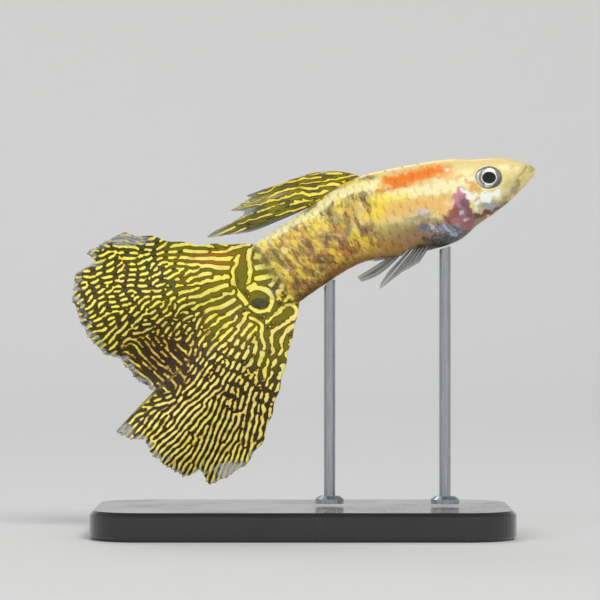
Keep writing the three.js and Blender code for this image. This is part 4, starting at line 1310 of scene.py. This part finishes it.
def dorsalPaint(middle, place, out, distance, edge):
    x, z = middle[..., 0], middle[..., 2]
    flat = np.stack([x, z], -1)
    field = sampleLace(dorsalNet, x, z) - 0.8 * smooth(0.9, 0.96, place)
    patchy = 0.5 + 0.5 * np.clip(waves(flat, 2.5, 36), -1, 1)
    shades = dorsal["ground"]
    ground = tint(linear(shades["olive"]), shades["green"], patchy)
    ground = tint(ground, shades["root"], 0.7 * (1 - smooth(0.0, 0.2, out)))
    line = tint(linear(dorsal["line"]["yellow"]), dorsal["line"]["gold"], patchy)
    line = tint(line, dorsal["line"]["tip"], 0.85 * smooth(-2.5, -5.0, x))
    toEdge = edge - distance + 0.2 * waves(flat, 1.5, 33)
    upper = 1 - smooth(0.5, 0.6, place)
    pale = np.exp(-((place - 0.03) / 0.04) ** 2) * smooth(0.25, 0.5, out)
    pale = np.maximum(pale, np.exp(-((place - 0.47) / 0.035) ** 2) * smooth(0.45, 0.7, out))
    pale = np.maximum(pale, 0.8 * upper * (1 - smooth(0.1, 0.9, toEdge)))
    ground = tint(ground, shades["pale"], 0.85 * pale)
    ground = tint(ground, shades["lower"], 0.8 * smooth(0.84, 0.92, place))
    clear = (1 - smooth(0.3, blend(2.0, 1.2, upper), toEdge)) * (1 - 0.7 * pale)
    clear = np.maximum(clear, 0.35 * smooth(0.88, 0.96, place) * smooth(0.1, 0.4, out))
    return {"lace": field, "ground": ground, "line": line, "clear": clear * 0.85}


dorsalPiece = makeFin("dorsal_fan", dorsal, dorsalSurface, laceFin, dorsalPaint)
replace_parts(dorsalPiece, "dorsal_fin")
print("dorsal fin made")


clearFinish = {"membrane": (0.25, 0.28, 0.31), "ray": (0.86, 0.84, 0.78)}


# clear fins: grey-blue membrane with whitish rays, partly see-through by the dense mark
def clearMaterial():
    material, tree, shader = newMaterial("clear membrane")
    ray = markNode(tree, "ray")
    shade, height = addGrain(tree, 6.0, 0.2)
    colour = mixNode(tree, times(tree, ray, 0.8), clearFinish["membrane"], clearFinish["ray"])
    cover = mathNode(tree, "MULTIPLY_ADD", ray, 0.6, 0.75)
    setInputs(tree, shader, {
        "Base Color": shaded(tree, colour, shade),
        "Alpha": mathNode(tree, "MULTIPLY", markNode(tree, "dense"), cover, clamp=True),
        "Roughness": 0.35,
        "Coat Weight": 0.3,
        "Normal": bumpNode(tree, height, 0.008),
    })
    return material


clearFin = clearMaterial()


# main names the places of the rays that show most
def clearPaint(density, main=()):
    def painter(middle, place, out, distance, edge):
        ray = 0 * place
        for at in main:
            ray = np.maximum(ray, np.exp(-((place - at) / 0.035) ** 2))
        return {"dense": density * (1 - 0.4 * smooth(0.6, 1.0, out)), "ray": ray}
    return painter


pelvic = {
    "from": 8.05,
    "to": 9.0,
    "rounds": (157, 157),  # degrees from the top where the root line starts and ends
    "fan": (6, -4),  # degrees that the first and last rays turn from the fin's own direction
    "splay": 0.16,
    "dip": 0.4,
    "sink": 0.5,
    "rays": 6,
    "forks": (0.4, 0.75),
    "rayWidth": 0.1,
    "rayHeight": 0.04,
    "thick": (0.16, 0.08),
    "fringe": 0.03,
    "teeth": 0.06,
    "grid": (70, 73),
    "seed": 7,
    "density": 0.92,
    "main": (0.72, 0.97),
    "edge": [(0, 2.0), (0.2, 2.5), (0.4, 3.1), (0.55, 4.0), (0.72, 5.5), (0.86, 4.6), (1, 2.6)],
}


pectoral = {
    "from": 7.7,
    "to": 8.05,
    "rounds": (98, 118),
    "fan": (-22, 26),
    "splay": 0.42,
    "dip": 0.0,
    "sink": 0.4,
    "rays": 9,
    "forks": (0.35, 0.7),
    "rayWidth": 0.08,
    "rayHeight": 0.03,
    "thick": (0.12, 0.07),
    "fringe": 0.05,
    "teeth": 0.06,
    "grid": (60, 91),
    "seed": 8,
    "density": 0.13,
    "main": (),
    "edge": [(0, 3.0), (0.2, 4.0), (0.45, 4.3), (0.7, 3.9), (0.88, 3.2), (1, 2.3)],
}


# one of a pair of fins: rays from a root line on the flank, fanned about one direction, which
# spread to the side. Side is 1 on the left, and share sizes the fin.
def makeSideFin(name, fin, side, direction, share=1.0):
    def surface(distance, place):
        turn = side * np.radians(blend(*fin["rounds"], place))
        root = bodyPoint(blend(fin["from"], fin["to"], place), turn)
        point = root + heading(direction + blend(*fin["fan"], place)) * distance[..., None]
        point[..., 1] += side * fin["splay"] * distance
        point[..., 2] += np.maximum(0, -distance) * fin["dip"]
        return point
    sized = {**fin, "edge": [(place, reach * share) for place, reach in fin["edge"]]}
    piece = makeFin(name, sized, surface, clearFin, clearPaint(fin["density"], fin["main"]))
    return piece


anal = {
    "from": 9.3,
    "to": 9.85,
    "tip": (6.09, 26.53),
    "tipWidth": 0.67,
    "tipTurn": (-0.62, 0.78),
    "sag": 0.5,
    "sink": 0.5,
    "rays": 2,
    "forks": (2.0, 2.0),
    "rayWidth": 0.2,
    "rayHeight": 0.05,
    "thick": (0.3, 0.16),
    "fringe": 0.02,
    "teeth": 0.04,
    "grid": (70, 41),
    "seed": 9,
    "density": 0.9,
    "edge": [(0, 5.1), (1, 5.1)],
}


# a folded fin: straight from the root line to the tip line, with a sag between
def analSurface(distance, place):
    root = bodyPoint(blend(anal["from"], anal["to"], place), math.pi)
    dx, dz = np.asarray(anal["tipTurn"]) * anal["tipWidth"] / math.hypot(*anal["tipTurn"])
    tip = np.stack([anal["tip"][0] + dx * place, root[..., 1], anal["tip"][1] + dz * place], -1)
    share = distance / anal["edge"][0][1]
    point = blend(root, tip, share[..., None])
    point[..., 2] -= anal["sag"] * np.sin(math.pi * np.clip(share, 0, 1)) * (1 - place)
    return point


for name, side, lower, share in (("pelvic_fan_left", 1, 17, 0.8), ("pelvic_fan_right", -1, 51, 1.0)):
    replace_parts(makeSideFin(name, pelvic, side, lower, share), name.replace("fan", "fin"))
for name, side, lower in (("pectoral_fan_left", 1, 30), ("pectoral_fan_right", -1, 38)):
    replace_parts(makeSideFin(name, pectoral, side, lower), name.replace("fan", "fin"))
analPiece = makeFin("anal_fan", anal, analSurface, clearFin, clearPaint(anal["density"], (0.04, 0.96)))
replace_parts(analPiece, "anal_fin")
print("clear fins made")


eye = {
    "at": (19.38, 1.8, 37.4),
    "front": 0.5,
    "back": 0.85,
    "yaw": 4.0,
    "pupil": 0.5,
    "grid": (72, 96),
    "black": (0.005, 0.005, 0.006),
    "white": (0.95, 0.95, 0.92),
    "grey": (0.56, 0.57, 0.57),
    "silver": (0.84, 0.85, 0.85),
    "edge": (0.52, 0.48, 0.38),
    "skin": (0.84, 0.77, 0.55),
    "slate": (0.27, 0.30, 0.35),
}


# the eyeball is a flattened ball; the pupil is a shallow dish in its front
def makeEye(name, side, material):
    rows, count = eye["grid"]
    bend = np.linspace(-1.55, 1.55, rows)[:, None]
    turn = np.linspace(0, 2 * math.pi, count, endpoint=False)[None, :]
    shape = np.cos(bend) ** 0.8
    depth = np.where(bend < 0, eye["back"], eye["front"]) * np.sin(bend)
    front = np.where(bend > 0, shape, 1.2)
    depth = depth - 0.05 * (1 - smooth(eye["pupil"] - 0.03, eye["pupil"] + 0.03, front))
    yaw = math.radians(eye["yaw"])
    x = shape * np.cos(turn) * head["eyeRadii"][0]
    z = shape * np.sin(turn) * head["eyeRadii"][1]
    y = depth + 0 * x
    px = eye["at"][0] + x * math.cos(yaw) + y * math.sin(yaw)
    py = side * (eye["at"][1] - x * math.sin(yaw) + y * math.cos(yaw))
    points = np.stack([px, py, eye["at"][2] + z], -1).reshape(-1, 3)
    faces = gridQuads(rows, count, True).tolist()
    faces += [list(range(count))[::-1], list(range((rows - 1) * count, rows * count))]
    ring = (front + 0 * x).ravel()
    around = (turn + 0 * x).ravel()
    marks = {"ring": ring, "turnX": np.cos(around), "turnZ": np.sin(around)}
    piece = makePiece(name, points, faces, material, marks)
    fixNormals(piece)
    return piece


# iris rings by the ring mark: black pupil, white ring, silver, and a slate edge
def eyeMaterial():
    material, tree, shader = newMaterial("eye")
    shade, height = addGrain(tree, 9.0, 0.3)
    turnX, turnZ, plain = (markNode(tree, name) for name in ("turnX", "turnZ", "ring"))
    wobble = times(tree, mathNode(tree, "SUBTRACT", height, 0.5), 0.12)
    ring = mathNode(tree, "ADD", plain, wobble)
    high = rangeNode(tree, turnZ, 0.3, 0.95, (0.0, 0.17))
    low = rangeNode(tree, turnZ, -0.84, -0.97, (0.0, 0.28))
    reach = mathNode(tree, "SUBTRACT", ring, mathNode(tree, "ADD", high, low))
    colour = mixNode(tree, rangeNode(tree, reach, 0.54, 0.58), eye["white"], eye["grey"])
    silver = times(tree, rangeNode(tree, turnX, -0.3, -0.9), rangeNode(tree, ring, 0.72, 0.78))
    colour = mixNode(tree, silver, colour, eye["silver"])
    colour = mixNode(tree, rangeNode(tree, ring, 0.86, 0.92, (0.0, 0.8)), colour, eye["edge"])
    colour = mixNode(tree, rangeNode(tree, ring, 0.94, 0.99), colour, eye["skin"])
    below = rangeNode(tree, mathNode(tree, "SUBTRACT", turnX, turnZ), 0.5, 1.35)
    slate = times(tree, below, rangeNode(tree, ring, 0.62, 0.7))
    slate = times(tree, slate, rangeNode(tree, ring, 0.96, 0.88, (0.0, 0.8)))
    colour = mixNode(tree, slate, colour, eye["slate"])
    iris = rangeNode(tree, plain, eye["pupil"] - 0.02, eye["pupil"] + 0.02)
    setInputs(tree, shader, {
        "Base Color": mixNode(tree, iris, eye["black"], shaded(tree, colour, shade)),
        "Metallic": times(tree, iris, 0.35),
        "Roughness": 0.25,
        "Specular IOR Level": 0.25,
        "Coat Weight": 0.45,
        "Coat Roughness": 0.04,
    })
    return material


eyeball = eyeMaterial()
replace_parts(makeEye("eyeball_left", 1, eyeball), "eye_left")
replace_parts(makeEye("eyeball_right", -1, eyeball), "eye_right")
print("eyes made")


# cloudy or brushed by noise in mm on Object coordinates; stretch counts its waves per metre
def standMaterial(name, finish):
    material, tree, shader = newMaterial(name)
    mapping = tree.nodes.new("ShaderNodeMapping")
    mapping.inputs["Scale"].default_value = finish["stretch"]
    tree.links.new(tree.nodes.new("ShaderNodeTexCoord").outputs["Object"], mapping.inputs["Vector"])
    noise = noiseNode(tree, mapping.outputs["Vector"], 1.0, 5.0)
    contrast, rough = finish["contrast"], finish["roughness"]
    plain = tree.nodes.new("ShaderNodeRGB")
    plain.outputs[0].default_value = (*linear(finish["colour"]), 1)
    shade = rangeNode(tree, noise, 0.3, 0.7, (1 - contrast, 1 + contrast))
    setInputs(tree, shader, {
        "Base Color": shaded(tree, plain.outputs[0], shade),
        "Roughness": rangeNode(tree, noise, 0.35, 0.75, (rough * 0.7, rough * 1.4)),
        "Metallic": finish["metallic"],
        "Coat Weight": finish["coat"],
        "Normal": bumpNode(tree, noise, 0.003),
    })
    return material


plate = standMaterial("black acrylic", {
    "colour": (0.05, 0.05, 0.055),
    "metallic": 0.0,
    "roughness": 0.22,
    "coat": 0.6,
    "stretch": (160, 160, 160),
    "contrast": 0.25,
})
steel = standMaterial("brushed steel", {
    "colour": (0.66, 0.67, 0.69),
    "metallic": 1.0,
    "roughness": 0.26,
    "coat": 0.0,
    "stretch": (5000, 5000, 250),
    "contrast": 0.12,
})
for name, material in (("stand_base", plate), ("stand_rod_front", steel), ("stand_rod_rear", steel)):
    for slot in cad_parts[name].material_slots:
        slot.material = material
print("stand finished")
